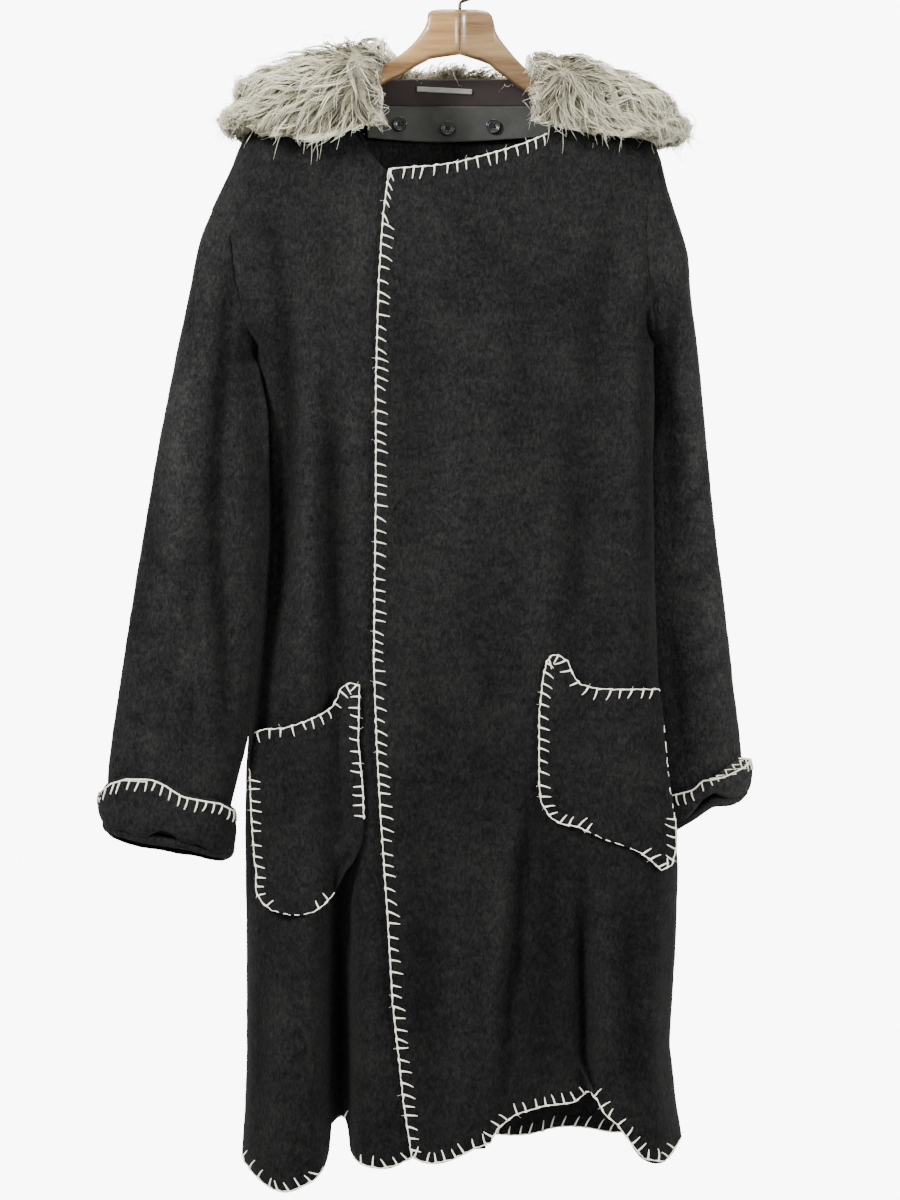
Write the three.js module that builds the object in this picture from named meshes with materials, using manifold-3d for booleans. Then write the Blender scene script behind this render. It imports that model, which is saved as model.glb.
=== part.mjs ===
// Shaggy wool coat with a long-haired fur collar, hung on a wooden hanger.
// Millimetres, +Z up, the front faces -Y. The origin is the inside top of the hook, where a rod bears.
// Left is -X and right is +X. Every cloth piece is a thin closed wall, open where the coat is open.
import * as THREE from 'three';
import { mergeVertices } from 'three/addons/utils/BufferGeometryUtils.js';
import Module from 'manifold-3d';

const wasm = await Module();
wasm.setup();

const cloth = 2.2; // thickness of the shaggy cloth
const seam = 0.4; // clearance between pieces that are sewn together
const rowShares = [0, 0.03, 0.085, 0.17, 0.29, 0.44, 0.62, 0.81, 1]; // rows above the underarm level
const armRows = rowShares.length - 1;
const skirtRows = 13; // rows of a panel below the armhole
const shoulderRise = 38; // height over which the cloth rounds over the shoulder

// Shoulder ridge seen from the front, with the neck bridged between the two neck points.
const ridge = [
  { x: -264, z: -262 }, { x: -239, z: -209 }, { x: -230, z: -184 }, { x: -212, z: -169 },
  { x: -170, z: -148 }, { x: -122, z: -127 }, { x: -60, z: -113 }, { x: 0, z: -111 },
  { x: 60, z: -119 }, { x: 115, z: -143 }, { x: 160, z: -163 }, { x: 197, z: -182 },
  { x: 210, z: -196 }, { x: 214, z: -209 },
];

// Armholes, from the shoulder tip down to the underarm.
const armholeLeft = [
  { x: -264, z: -262 }, { x: -252, z: -272 }, { x: -242, z: -288 }, { x: -239, z: -305 },
  { x: -235, z: -340 }, { x: -226, z: -380 }, { x: -215, z: -415 },
];
const armholeRight = [
  { x: 214, z: -209 }, { x: 203, z: -235 }, { x: 197, z: -262 }, { x: 194.5, z: -290 },
  { x: 197, z: -324 }, { x: 200, z: -362 }, { x: 201, z: -395 },
];

// Side lines: where front and back meet, or would meet across the armhole.
const sides = [
  { z: -127, left: -122, right: 115 }, { z: -184, left: -230, right: 199 },
  { z: -209, left: -239, right: 214 }, { z: -262, left: -264, right: 231 },
  { z: -295, left: -274, right: 236 }, { z: -340, left: -268, right: 232 },
  { z: -380, left: -245, right: 215 }, { z: -395, left: -233, right: 201 },
  { z: -415, left: -215, right: 201.5 }, { z: -470, left: -211, right: 203 },
  { z: -572, left: -208, right: 205 }, { z: -677, left: -213, right: 207 },
  { z: -760, left: -220, right: 210 }, { z: -830, left: -227, right: 217 },
  { z: -908, left: -229, right: 227 }, { z: -986, left: -228, right: 231 },
  { z: -1059, left: -227, right: 228 }, { z: -1167, left: -227, right: 223 },
  { z: -1202, left: -228, right: 229 }, { z: -1250, left: -231, right: 236 },
  { z: -1310, left: -234, right: 238 },
];

// Depth of the coat from its middle plane, and how far its sides are pushed by the sleeves.
const depths = [
  { z: -110, front: 34, back: 34, seamLeft: 0, seamRight: 0, roundRight: 60 },
  { z: -300, front: 42, back: 40, seamLeft: 0, seamRight: 0, roundRight: 60 },
  { z: -415, front: 48, back: 44, seamLeft: 0, seamRight: 0, roundRight: 80 },
  { z: -480, front: 50, back: 46, seamLeft: 8, seamRight: -14, roundRight: 115 },
  { z: -700, front: 56, back: 52, seamLeft: 12, seamRight: -18, roundRight: 125 },
  { z: -860, front: 62, back: 58, seamLeft: 10, seamRight: -20, roundRight: 130 },
  { z: -950, front: 67, back: 62, seamLeft: 6, seamRight: -20, roundRight: 130 },
  { z: -1060, front: 72, back: 68, seamLeft: 2, seamRight: -6, roundRight: 95 },
  { z: -1310, front: 80, back: 78, seamLeft: 0, seamRight: 0, roundRight: 70 },
];

// Large folds of the front and the back: a line from top to bottom, half width, and depth
// into the coat (negative stands out). They grow from nothing at their top end.
const frontFolds = [
  { name: 'underarm', xTop: -186, zTop: -320, xEnd: -192, zEnd: -720, half: 18, depth: 8, fade: 1 },
  { name: 'ridge', xTop: -158, zTop: -420, xEnd: -172, zEnd: -1310, half: 34, depth: -9, fade: 0 },
  { name: 'gap', xTop: -127, zTop: -470, xEnd: -126, zEnd: -1310, half: 26, depth: 62, fade: 0 },
  { name: 'chest', xTop: 128, zTop: -420, xEnd: 150, zEnd: -900, half: 46, depth: 10, fade: 1 },
  { name: 'step', xTop: 72, zTop: -820, xEnd: 64, zEnd: -1310, half: 34, depth: 26, fade: 0 },
  { name: 'hollow', xTop: 118, zTop: -840, xEnd: 112, zEnd: -1310, half: 62, depth: 34, fade: 0 },
  { name: 'crease', xTop: 128, zTop: -900, xEnd: 134, zEnd: -1310, half: 16, depth: 24, fade: 0 },
];
const backFolds = [
  { name: 'left', xTop: -130, zTop: -400, xEnd: -150, zEnd: -1310, half: 40, depth: 26, fade: 0 },
  { name: 'centre', xTop: -20, zTop: -520, xEnd: -48, zEnd: -1310, half: 34, depth: 20, fade: 0 },
  { name: 'right', xTop: 66, zTop: -450, xEnd: 74, zEnd: -1310, half: 44, depth: 28, fade: 0 },
  { name: 'side', xTop: 150, zTop: -600, xEnd: 168, zEnd: -1310, half: 26, depth: 14, fade: 0 },
];

// Edges of the fronts: neck edge, front edge and hem. A hem has a row for each column of the panel.
const neckUnder = [
  { x: -122, z: -127 }, { x: -119, z: -141 }, { x: -112, z: -166 }, { x: -103, z: -192 },
  { x: -92, z: -211 }, { x: -80, z: -225 }, { x: -56, z: -243 }, { x: -18, z: -260 }, { x: 22, z: -268 },
];
const neckOver = [
  { x: -74.5, z: -225 }, { x: -52, z: -223 }, { x: -28, z: -221.5 }, { x: -4, z: -218 },
  { x: 24, z: -211 }, { x: 48, z: -204 }, { x: 66, z: -198 }, { x: 83, z: -191 },
  { x: 92, z: -187 }, { x: 103, z: -170 }, { x: 115, z: -143 },
];
const neckBack = [
  { x: -122, z: -127 }, { x: -100, z: -139 }, { x: -70, z: -146 }, { x: -8, z: -150 },
  { x: 60, z: -152 }, { x: 92, z: -150 }, { x: 115, z: -143 },
];
const frontEdge = [
  { z: -225, x: -74.5 }, { z: -278, x: -81 }, { z: -340, x: -85 }, { z: -447, x: -88 },
  { z: -570, x: -88 }, { z: -740, x: -90 }, { z: -824, x: -87 }, { z: -895, x: -83 },
  { z: -1001, x: -75.5 }, { z: -1094, x: -70 }, { z: -1202, x: -58 }, { z: -1253, x: -50 },
];
const underlapEdge = [{ z: -268, x: 22 }, { z: -700, x: 16 }, { z: -1245, x: 26 }];
const centreBack = [{ z: -149, x: -8 }, { z: -600, x: -2 }, { z: -1252, x: 0 }];
const hemUnder = [
  { x: -231, z: -1262 }, { x: -226, z: -1268 }, { x: -216, z: -1276 }, { x: -204, z: -1284 },
  { x: -190, z: -1289 }, { x: -175, z: -1288 }, { x: -161, z: -1282 }, { x: -149, z: -1276 },
  { x: -139, z: -1262 }, { x: -135, z: -1228 }, { x: -126, z: -1221 }, { x: -119, z: -1228 },
  { x: -115, z: -1254 }, { x: -103, z: -1262 }, { x: -82, z: -1266 }, { x: -66, z: -1263 },
  { x: -50, z: -1255 }, { x: -12, z: -1248 }, { x: 26, z: -1245 },
];
const hemOver = [
  { x: -50, z: -1253 }, { x: -40, z: -1258 }, { x: -28, z: -1260 }, { x: -8, z: -1256 },
  { x: 16, z: -1244 }, { x: 31, z: -1239 }, { x: 38, z: -1225 }, { x: 57, z: -1213 },
  { x: 88, z: -1205 }, { x: 120, z: -1202 }, { x: 133, z: -1192 }, { x: 142, z: -1196 },
  { x: 150, z: -1211 }, { x: 164, z: -1222 }, { x: 177, z: -1240 }, { x: 190, z: -1256 },
  { x: 213, z: -1262 }, { x: 235, z: -1245 },
];
const hemBack = [
  { x: -231, z: -1262 }, { x: -206, z: -1262 }, { x: -182, z: -1256 }, { x: -160, z: -1246 },
  { x: -138, z: -1238 }, { x: -120, z: -1236 }, { x: -102, z: -1240 }, { x: -84, z: -1246 },
  { x: -66, z: -1250 }, { x: -50, z: -1252 }, { x: -36, z: -1254 }, { x: -24, z: -1256 },
  { x: -12, z: -1257 }, { x: 0, z: -1257 },
];
const hemBackRight = [
  { x: 0, z: -1257 }, { x: 20, z: -1258 }, { x: 40, z: -1258 }, { x: 60, z: -1256 },
  { x: 80, z: -1253 }, { x: 100, z: -1250 }, { x: 122, z: -1250 }, { x: 144, z: -1252 },
  { x: 166, z: -1254 }, { x: 188, z: -1254 }, { x: 208, z: -1252 }, { x: 224, z: -1249 },
  { x: 235, z: -1245 },
];

// Sleeves: a row for each section, with its outer and inner edge, its middle plane and half depth.
const sleeveLeft = [
  { outX: -276, outZ: -297, inX: -220, inZ: -424, y: -3, half: 38 },
  { outX: -288, outZ: -357, inX: -214, inZ: -462, y: -12, half: 37 },
  { outX: -305, outZ: -447, inX: -206, inZ: -526, y: -24, half: 36 },
  { outX: -320, outZ: -528, inX: -201, inZ: -588, y: -31, half: 35 },
  { outX: -333, outZ: -610, inX: -203, inZ: -654, y: -35, half: 34 },
  { outX: -346, outZ: -690, inX: -211, inZ: -722, y: -37, half: 34 },
  { outX: -357, outZ: -765, inX: -216, inZ: -790, y: -41, half: 34 },
  { outX: -366, outZ: -830, inX: -229, inZ: -850, y: -43, half: 34 },
  { outX: -370, outZ: -875, inX: -241, inZ: -896, y: -43, half: 33 },
  { outX: -368, outZ: -908, inX: -246, inZ: -931, y: -43, half: 32 },
];
const sleeveRight = [
  { outX: 240, outZ: -297, inX: 207, inZ: -406, y: 6, half: 38 },
  { outX: 248, outZ: -357, inX: 204, inZ: -446, y: 18, half: 37 },
  { outX: 258, outZ: -430, inX: 193, inZ: -500, y: 32, half: 36 },
  { outX: 267, outZ: -520, inX: 182, inZ: -572, y: 40, half: 35 },
  { outX: 277, outZ: -615, inX: 180, inZ: -660, y: 43, half: 34 },
  { outX: 288, outZ: -700, inX: 185, inZ: -742, y: 44, half: 34 },
  { outX: 296, outZ: -775, inX: 191, inZ: -818, y: 44, half: 34 },
  { outX: 304, outZ: -838, inX: 200, inZ: -884, y: 47, half: 33 },
  { outX: 305, outZ: -868, inX: 204, inZ: -914, y: 48, half: 32 },
];
const sleeveRings = 13;
const sleeveSquareness = 2.3; // exponent of a sleeve's section, 2 for an ellipse

// Turned-up cuffs: plan size, and the height of their upper edge and lower fold.
const cuffs = {
  left: { y: -43, half: 40, topIn: -236, topOut: -379, endIn: -238, endOut: -377, dip: 10 },
  right: { y: 48, half: 40, topIn: 195, topOut: 314, endIn: 196, endOut: 312, dip: 6 },
};
const cuffTopLeft = [
  { x: -379, z: -880 }, { x: -368, z: -868 }, { x: -356, z: -863 }, { x: -330, z: -863 },
  { x: -301, z: -870 }, { x: -277, z: -881 }, { x: -259, z: -885 }, { x: -245, z: -889 },
  { x: -236, z: -899 },
];
const cuffTopRight = [
  { x: 195, z: -897 }, { x: 221, z: -886 }, { x: 245, z: -880 }, { x: 257, z: -873 },
  { x: 271, z: -866 }, { x: 286, z: -856 }, { x: 300, z: -846 }, { x: 314, z: -849 },
];
const cuffEndLeft = [
  { x: -377, z: -908 }, { x: -368, z: -919 }, { x: -325, z: -928 }, { x: -281, z: -935 },
  { x: -259, z: -942 }, { x: -238, z: -946 },
];
const cuffEndRight = [
  { x: 196, z: -938 }, { x: 228, z: -925 }, { x: 245, z: -914 }, { x: 259, z: -904 },
  { x: 272, z: -896 }, { x: 298, z: -893 }, { x: 312, z: -884 },
];

// Patch pockets: left and right edge and where the mouth and the bottom run, as outlines.
const pocketStand = 1.6; // clearance of a pocket from the front it is sewn on
const pocketLeft = {
  mouth: [{ x: -215, z: -816 }, { x: -203, z: -812 }, { x: -184, z: -811 }, { x: -165, z: -805 },
    { x: -148, z: -798 }, { x: -135, z: -790 }, { x: -128, z: -779 }, { x: -124, z: -769 },
    { x: -115, z: -763.5 }, { x: -105, z: -766 }],
  end: [{ x: -212, z: -983 }, { x: -205, z: -993 }, { x: -196, z: -999 }, { x: -185, z: -1002 },
    { x: -174, z: -1004 }, { x: -162, z: -1003 }, { x: -151, z: -1000 }, { x: -141, z: -993 },
    { x: -131, z: -982 }, { x: -120, z: -960 }],
  left: [{ z: -816, x: -215 }, { z: -847, x: -221 }, { z: -905, x: -218 }, { z: -960, x: -212 },
    { z: -983, x: -207 }],
  right: [{ z: -766, x: -104 }, { z: -825, x: -106 }, { z: -876, x: -101 }, { z: -905, x: -100 },
    { z: -935, x: -106 }, { z: -960, x: -116 }],
};
const pocketRight = {
  mouth: [{ x: 90, z: -740 }, { x: 96, z: -734 }, { x: 104, z: -735 }, { x: 112, z: -741 },
    { x: 117, z: -754 }, { x: 124, z: -764 }, { x: 140, z: -769 }, { x: 160, z: -770 },
    { x: 184, z: -770 }, { x: 208, z: -770 }],
  end: [{ x: 94, z: -903 }, { x: 106, z: -909.5 }, { x: 122, z: -912 }, { x: 137, z: -919 },
    { x: 150, z: -925 }, { x: 166, z: -930 }, { x: 182, z: -936 }, { x: 196, z: -945 },
    { x: 208, z: -957 }, { x: 220, z: -952 }],
  left: [{ z: -740, x: 89 }, { z: -758, x: 86 }, { z: -795, x: 82 }, { z: -870, x: 82 },
    { z: -887, x: 84 }, { z: -903, x: 92 }],
  right: [{ z: -770, x: 209 }, { z: -805, x: 212 }, { z: -874, x: 218 }, { z: -908, x: 224.5 },
    { z: -934, x: 225.5 }, { z: -952, x: 221 }],
};

// Fur collar: a row for each section across the shoulder, as deep as the hair reaches.
const furArch = 44; // half width of the hollow that straddles the shoulder
const furLeftRows = [
  { x: -252, top: -150, end: -172, half: 22 }, { x: -247, top: -134, end: -180, half: 40 },
  { x: -236, top: -122, end: -188, half: 54 }, { x: -221, top: -115, end: -197, half: 66 },
  { x: -202, top: -110, end: -198, half: 72 }, { x: -182, top: -104, end: -201, half: 76 },
  { x: -162, top: -98, end: -204, half: 78 }, { x: -142, top: -91, end: -203, half: 79 },
  { x: -122, top: -86, end: -199, half: 78 }, { x: -102, top: -84, end: -192, half: 76 },
  { x: -88, top: -88, end: -189, half: 73 }, { x: -79, top: -93, end: -182, half: 66 },
];
const furRightRows = [
  { x: 76, top: -107, end: -176, half: 66 }, { x: 84, top: -101, end: -184, half: 72 },
  { x: 98, top: -97, end: -190, half: 76 }, { x: 116, top: -95, end: -194, half: 78 },
  { x: 134, top: -101, end: -194, half: 79 }, { x: 154, top: -112, end: -199, half: 78 },
  { x: 174, top: -119, end: -204, half: 76 }, { x: 194, top: -126, end: -205, half: 73 },
  { x: 212, top: -136, end: -202, half: 68 }, { x: 226, top: -143, end: -192, half: 54 },
  { x: 237, top: -153, end: -186, half: 40 }, { x: 242, top: -162, end: -180, half: 22 },
];
const furBackRows = [
  { x: -78.6, top: -101, y: 51 }, { x: -60, top: -103, y: 53 }, { x: -36, top: -101, y: 55 },
  { x: -10, top: -99, y: 56 }, { x: 16, top: -101, y: 56 }, { x: 40, top: -103, y: 55 },
  { x: 60, top: -106, y: 53 }, { x: 75.6, top: -108, y: 51 },
];

const neckTrim = {
  bandTop: -147, bandEnd: [{ x: -100, z: -172 }, { x: -75, z: -181 }, { x: -14, z: -185 },
    { x: 54, z: -181 }, { x: 98, z: -176 }],
  bandThick: 1.4, bandGap: 4.2, half: 80, liningTop: -118, liningThick: 1.6, liningHalf: 74,
  labelLeft: -46, labelRight: 13, labelTop: -127.5, labelEnd: -132.5, labelThick: 0.8, gap: 0.5,
};
const button = { across: 15.4, thick: 3, rim: 1.3, hole: 1.7, holeCircle: 4.2, gap: 0.4 };
const buttonPlaces = [{ x: -64, z: -166 }, { x: -13, z: -170.5 }, { x: 36, z: -168.5 }];

// Hanger: a row for each section of a half, with its upper and lower edge and half thickness.
const hangerLeftRows = [
  { x: -0.2, top: -49, end: -96.5, half: 11 }, { x: -30, top: -50, end: -101, half: 10.5 },
  { x: -34.5, top: -62, end: -103, half: 10 }, { x: -47, top: -82, end: -109, half: 9 },
  { x: -65, top: -98.5, end: -120, half: 9 }, { x: -84, top: -110, end: -129, half: 10 },
  { x: -122, top: -139, end: -155, half: 10 }, { x: -166, top: -157, end: -172, half: 13 },
  { x: -196, top: -172, end: -184, half: 11 }, { x: -205, top: -178, end: -186, half: 6 },
];
const hangerRightRows = [
  { x: 0.2, top: -49, end: -96.5, half: 11 }, { x: 31, top: -52, end: -107, half: 10.5 },
  { x: 37.5, top: -70, end: -113, half: 10 }, { x: 48, top: -87, end: -120, half: 9 },
  { x: 62, top: -104, end: -131, half: 9 }, { x: 80, top: -122, end: -143, half: 10 },
  { x: 112, top: -151, end: -166, half: 11 }, { x: 150, top: -170, end: -184, half: 12 },
  { x: 178, top: -186, end: -197, half: 10 }, { x: 188, top: -193, end: -200, half: 6 },
];
const hookWire = 3.6; // diameter of the hook's wire
const hookInside = 19; // inside radius of the hook
const hookFoot = -48.5; // where the hook's stem meets the wood

const paint = {
  wool: new THREE.MeshStandardMaterial({ color: 0x1b1b1c, roughness: 0.95 }),
  fur: new THREE.MeshStandardMaterial({ color: 0x9c968a, roughness: 0.9 }),
  lining: new THREE.MeshStandardMaterial({ color: 0x322322, roughness: 0.7 }),
  band: new THREE.MeshStandardMaterial({ color: 0x2b2d2e, roughness: 0.75 }),
  label: new THREE.MeshStandardMaterial({ color: 0x8f9092, roughness: 0.7 }),
  button: new THREE.MeshStandardMaterial({ color: 0x22262a, roughness: 0.25 }),
  wood: new THREE.MeshStandardMaterial({ color: 0x9a6a44, roughness: 0.4 }),
  metal: new THREE.MeshStandardMaterial({ color: 0x3a342e, roughness: 0.35, metalness: 0.9 }),
};

// Looks a column up in a table by a key that rises or falls, on a smooth monotone curve.
function lookUp(rows, key, value, column) {
  const rising = rows[rows.length - 1][key] > rows[0][key] ? 1 : -1;
  const last = rows.length - 1;
  if (rising * (value - rows[0][key]) <= 0) return rows[0][column];
  if (rising * (value - rows[last][key]) >= 0) return rows[last][column];
  let i = 0;
  while (rising * (value - rows[i + 1][key]) > 0) i += 1;
  const rise = (j) => (rows[j + 1][column] - rows[j][column]) / (rows[j + 1][key] - rows[j][key]);
  const tangent = (j) => {
    if (j === 0 || j === last) return rise(Math.min(j, last - 1));
    const before = rise(j - 1);
    const after = rise(j);
    return before * after <= 0 ? 0 : (2 * before * after) / (before + after);
  };
  const width = rows[i + 1][key] - rows[i][key];
  const t = (value - rows[i][key]) / width;
  const a = rows[i][column];
  const b = rows[i + 1][column];
  const startPull = tangent(i) * width * t * (1 - t) ** 2;
  const endPull = tangent(i + 1) * width * t ** 2 * (t - 1);
  return a * (1 + 2 * t) * (1 - t) ** 2 + b * t ** 2 * (3 - 2 * t) + startPull + endPull;
}

// Points at equal distances along a table's outline, ends included.
function spread(rows, count) {
  const lengths = [0];
  for (let i = 1; i < rows.length; i += 1) {
    lengths.push(lengths[i - 1] + Math.hypot(rows[i].x - rows[i - 1].x, rows[i].z - rows[i - 1].z));
  }
  const points = [];
  for (let k = 0; k <= count; k += 1) {
    const want = (lengths[rows.length - 1] * k) / count;
    let i = 0;
    while (i < rows.length - 2 && lengths[i + 1] < want) i += 1;
    const t = Math.min((want - lengths[i]) / (lengths[i + 1] - lengths[i]), 1);
    points.push({
      x: THREE.MathUtils.lerp(rows[i].x, rows[i + 1].x, t),
      z: THREE.MathUtils.lerp(rows[i].z, rows[i + 1].z, t),
    });
  }
  return points;
}

// Quarter-circle rise from 0 at an edge to 1 at the given distance from it.
function rounding(distance, reach) {
  const t = Math.min(Math.max(distance / reach, 0), 1);
  return Math.sqrt(1 - (1 - t) ** 2);
}

function foldDepth(folds, x, z) {
  let total = 0;
  for (const fold of folds) {
    const along = (fold.zTop - z) / (fold.zTop - fold.zEnd);
    if (along > 0 && along < 1) {
      const middle = THREE.MathUtils.lerp(fold.xTop, fold.xEnd, along);
      const across = Math.min(Math.abs(x - middle) / fold.half, 1);
      const grown = fold.fade ? Math.sin(Math.PI * along) : along ** 1.2;
      total += fold.depth * grown * Math.cos((Math.PI / 2) * across) ** 2;
    }
  }
  return total;
}

// The coat's outer surface: the depth (y) of its front or back at a place seen from the front.
function clothDepth(side, x, z) {
  const left = lookUp(sides, 'z', z, 'left');
  const right = lookUp(sides, 'z', z, 'right');
  const t = THREE.MathUtils.clamp((x - left) / (right - left), 0, 1);
  const seamY = THREE.MathUtils.lerp(
    lookUp(depths, 'z', z, 'seamLeft'),
    lookUp(depths, 'z', z, 'seamRight'),
    t,
  );
  const roundRight = side === 'back' ? lookUp(depths, 'z', z, 'roundRight') : 62;
  const across = rounding(x - left, 62) * rounding(right - x, roundRight);
  const down = rounding(lookUp(ridge, 'x', x, 'z') - z, shoulderRise);
  const out = lookUp(depths, 'z', z, side) * across * down;
  if (side === 'back') return seamY + out - foldDepth(backFolds, x, z) * across * down;
  return seamY - out + foldDepth(frontFolds, x, z) * across * down;
}

// The front that laps over stands clear of the one below it, and settles back beyond the overlap.
function overDepth(x, z) {
  const lap = 1 - THREE.MathUtils.smoothstep(x, 34, 120);
  return clothDepth('front', x, z) - 5.2 * lap;
}

// Turns a grid of outer points into a closed wall. The inner points lie one thickness inwards.
// wrap joins the last column to the first; inward gives or changes a point's inward direction.
function wallGeometry(grid, thickness, { wrap = false, flip = false, inward = null } = {}) {
  const rows = grid.length;
  const columns = grid[0].length;
  const inner = grid.map((row, i) => row.map((point, j) => {
    const before = wrap ? row[(j + columns - 1) % columns] : row[Math.max(j - 1, 0)];
    const after = wrap ? row[(j + 1) % columns] : row[Math.min(j + 1, columns - 1)];
    const above = grid[Math.max(i - 1, 0)][j];
    const below = grid[Math.min(i + 1, rows - 1)][j];
    const normal = new THREE.Vector3().subVectors(after, before)
      .cross(new THREE.Vector3().subVectors(below, above)).normalize();
    if (!flip) normal.negate();
    if (inward) inward(normal, i, j, point);
    return point.clone().addScaledVector(normal, thickness);
  }));
  const geometry = new THREE.BufferGeometry();
  const positions = [...grid.flat(), ...inner.flat()].flatMap((point) => point.toArray());
  geometry.setAttribute('position', new THREE.Float32BufferAttribute(positions, 3));
  geometry.setIndex(wallIndex(rows, columns, wrap, flip));
  geometry.computeVertexNormals();
  return { geometry, inner };
}

// Faces of a closed wall whose outer rows come first and its inner rows after them.
function wallIndex(rows, columns, wrap, flip) {
  const offset = rows * columns;
  const index = [];
  const quad = (a, b, c, d) => index.push(...(flip ? [a, b, c, a, c, d] : [a, c, b, a, d, c]));
  const spans = wrap ? columns : columns - 1;
  for (let i = 0; i < rows - 1; i += 1) {
    for (let j = 0; j < spans; j += 1) {
      const k = (j + 1) % columns;
      const a = i * columns + j;
      const b = i * columns + k;
      const c = (i + 1) * columns + k;
      const d = (i + 1) * columns + j;
      quad(a, d, c, b);
      quad(offset + a, offset + b, offset + c, offset + d);
    }
  }
  for (let j = 0; j < spans; j += 1) {
    const k = (j + 1) % columns;
    const end = (rows - 1) * columns;
    quad(j, k, offset + k, offset + j);
    quad(end + k, end + j, offset + end + j, offset + end + k);
  }
  if (!wrap) {
    for (let i = 0; i < rows - 1; i += 1) {
      const a = i * columns;
      const b = a + columns;
      quad(b, a, offset + a, offset + b);
      quad(a + columns - 1, b + columns - 1, offset + b + columns - 1, offset + a + columns - 1);
    }
  }
  return index;
}

const coat = new THREE.Group();

function add(name, geometry, material) {
  const mesh = new THREE.Mesh(geometry, material);
  mesh.name = name;
  coat.add(mesh);
  return mesh;
}

// A panel's outline points seen from the front: the upper part is blended between its top edge, the
// level of the underarm and its two sides, and the skirt hangs from there to the hem.
function panelOutline({ top, leftEdge, rightEdge, armLeft, armRight, hem }) {
  const count = top.length - 1;
  const share = (points, j) => (points[j].x - points[0].x) / (points[count].x - points[0].x);
  const rows = [];
  for (let i = 0; i <= armRows; i += 1) {
    const a = rowShares[i];
    rows.push(top.map((point, j) => {
      const w = share(top, j);
      const level = (key) => THREE.MathUtils.lerp(armLeft[armRows][key], armRight[armRows][key], w);
      const mix = (key) => THREE.MathUtils.lerp(point[key], level(key), a)
        + (1 - w) * (armLeft[i][key] - THREE.MathUtils.lerp(top[0][key], armLeft[armRows][key], a))
        + w * (armRight[i][key] - THREE.MathUtils.lerp(top[count][key], armRight[armRows][key], a));
      return { x: mix('x'), z: mix('z') };
    }));
  }
  const level = rows[armRows];
  for (let i = 1; i <= skirtRows; i += 1) {
    const a = 1 - (1 - i / skirtRows) ** 1.15;
    rows.push(hem.map((point, j) => {
      const z = THREE.MathUtils.lerp(level[j].z, point.z, a);
      const w = THREE.MathUtils.lerp(share(top, j), share(hem, j), THREE.MathUtils.smoothstep(a, 0, 1));
      const x = THREE.MathUtils.lerp(leftEdge(z, a), rightEdge(z, a), w);
      return { x: i === skirtRows ? point.x : x, z };
    }));
  }
  return rows;
}

const sideLine = (column) => (z) => lookUp(sides, 'z', z, column);
const edgeLine = (rows) => (z) => lookUp(rows, 'z', z, 'x');
const armLeftPoints = spread(armholeLeft, armRows);
const armRightPoints = spread(armholeRight, armRows);
const shoulderLeft = spread(ridge.slice(0, 6), 8); // tip to neck point
const shoulderRight = spread(ridge.slice(9), 7); // neck point to tip

// The part of an inner edge above the underarm level, as points for the blend.
function edgeBeside(rows, levelZ) {
  const start = rows[0];
  return Array.from({ length: armRows + 1 }, (_, i) => {
    const z = THREE.MathUtils.lerp(start.z, levelZ, rowShares[i]);
    return { x: lookUp(rows, 'z', z, 'x'), z };
  });
}

// Lifts outline points onto the cloth. Seam vertices lie at the seam's clearance from the middle.
function liftPanel(outline, depth, isSeam, towards) {
  return outline.map((row, i) => row.map((point, j) => {
    let y = depth(point.x, point.z);
    if (isSeam(i, j)) y += (towards * seam) / 2;
    return new THREE.Vector3(point.x, y, point.z);
  }));
}

// At the underarm, where the sleeve folds back against the side, inwards is up for both.
const up = new THREE.Vector3(0, 0, 1);
const panels = {};
function addPanel(name, { outline, depth, back, shoulder, sideColumn }) {
  const towards = back ? 1 : -1;
  const last = outline[0].length - 1;
  const atSide = (i, j) => j === (sideColumn === 'left' ? 0 : last);
  const atShoulder = (i, j) => i === 0 && shoulder(j);
  const grid = liftPanel(
    outline,
    depth,
    (i, j) => atShoulder(i, j) || (atSide(i, j) && i >= armRows),
    towards,
  );
  const inward = (normal, i, j) => {
    if (atShoulder(i, j) || (atSide(i, j) && i > armRows)) normal.setY(0).normalize();
    if (back && j === (sideColumn === 'left' ? last : 0)) normal.setX(0).normalize();
    if (atSide(i, j) && i === armRows) normal.copy(up);
    if (atSide(i, j) && i === armRows - 1) normal.lerp(up, 0.5).normalize();
  };
  const { geometry, inner } = wallGeometry(grid, cloth, { flip: !back, inward });
  panels[name] = { grid, inner };
  add(name, geometry, paint.wool);
}

const underTop = [...shoulderLeft, ...spread(neckUnder, 10).slice(1)];
const overTop = [...spread(neckOver, 10), ...shoulderRight.slice(1)];
const backLeftTop = [...shoulderLeft, ...spread([...neckBack.slice(0, 4)], 5).slice(1)];
const backRightTop = [...spread(neckBack.slice(3), 5), ...shoulderRight.slice(1)];
const levelMiddle = -405; // underarm level near the middle of the coat

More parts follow.
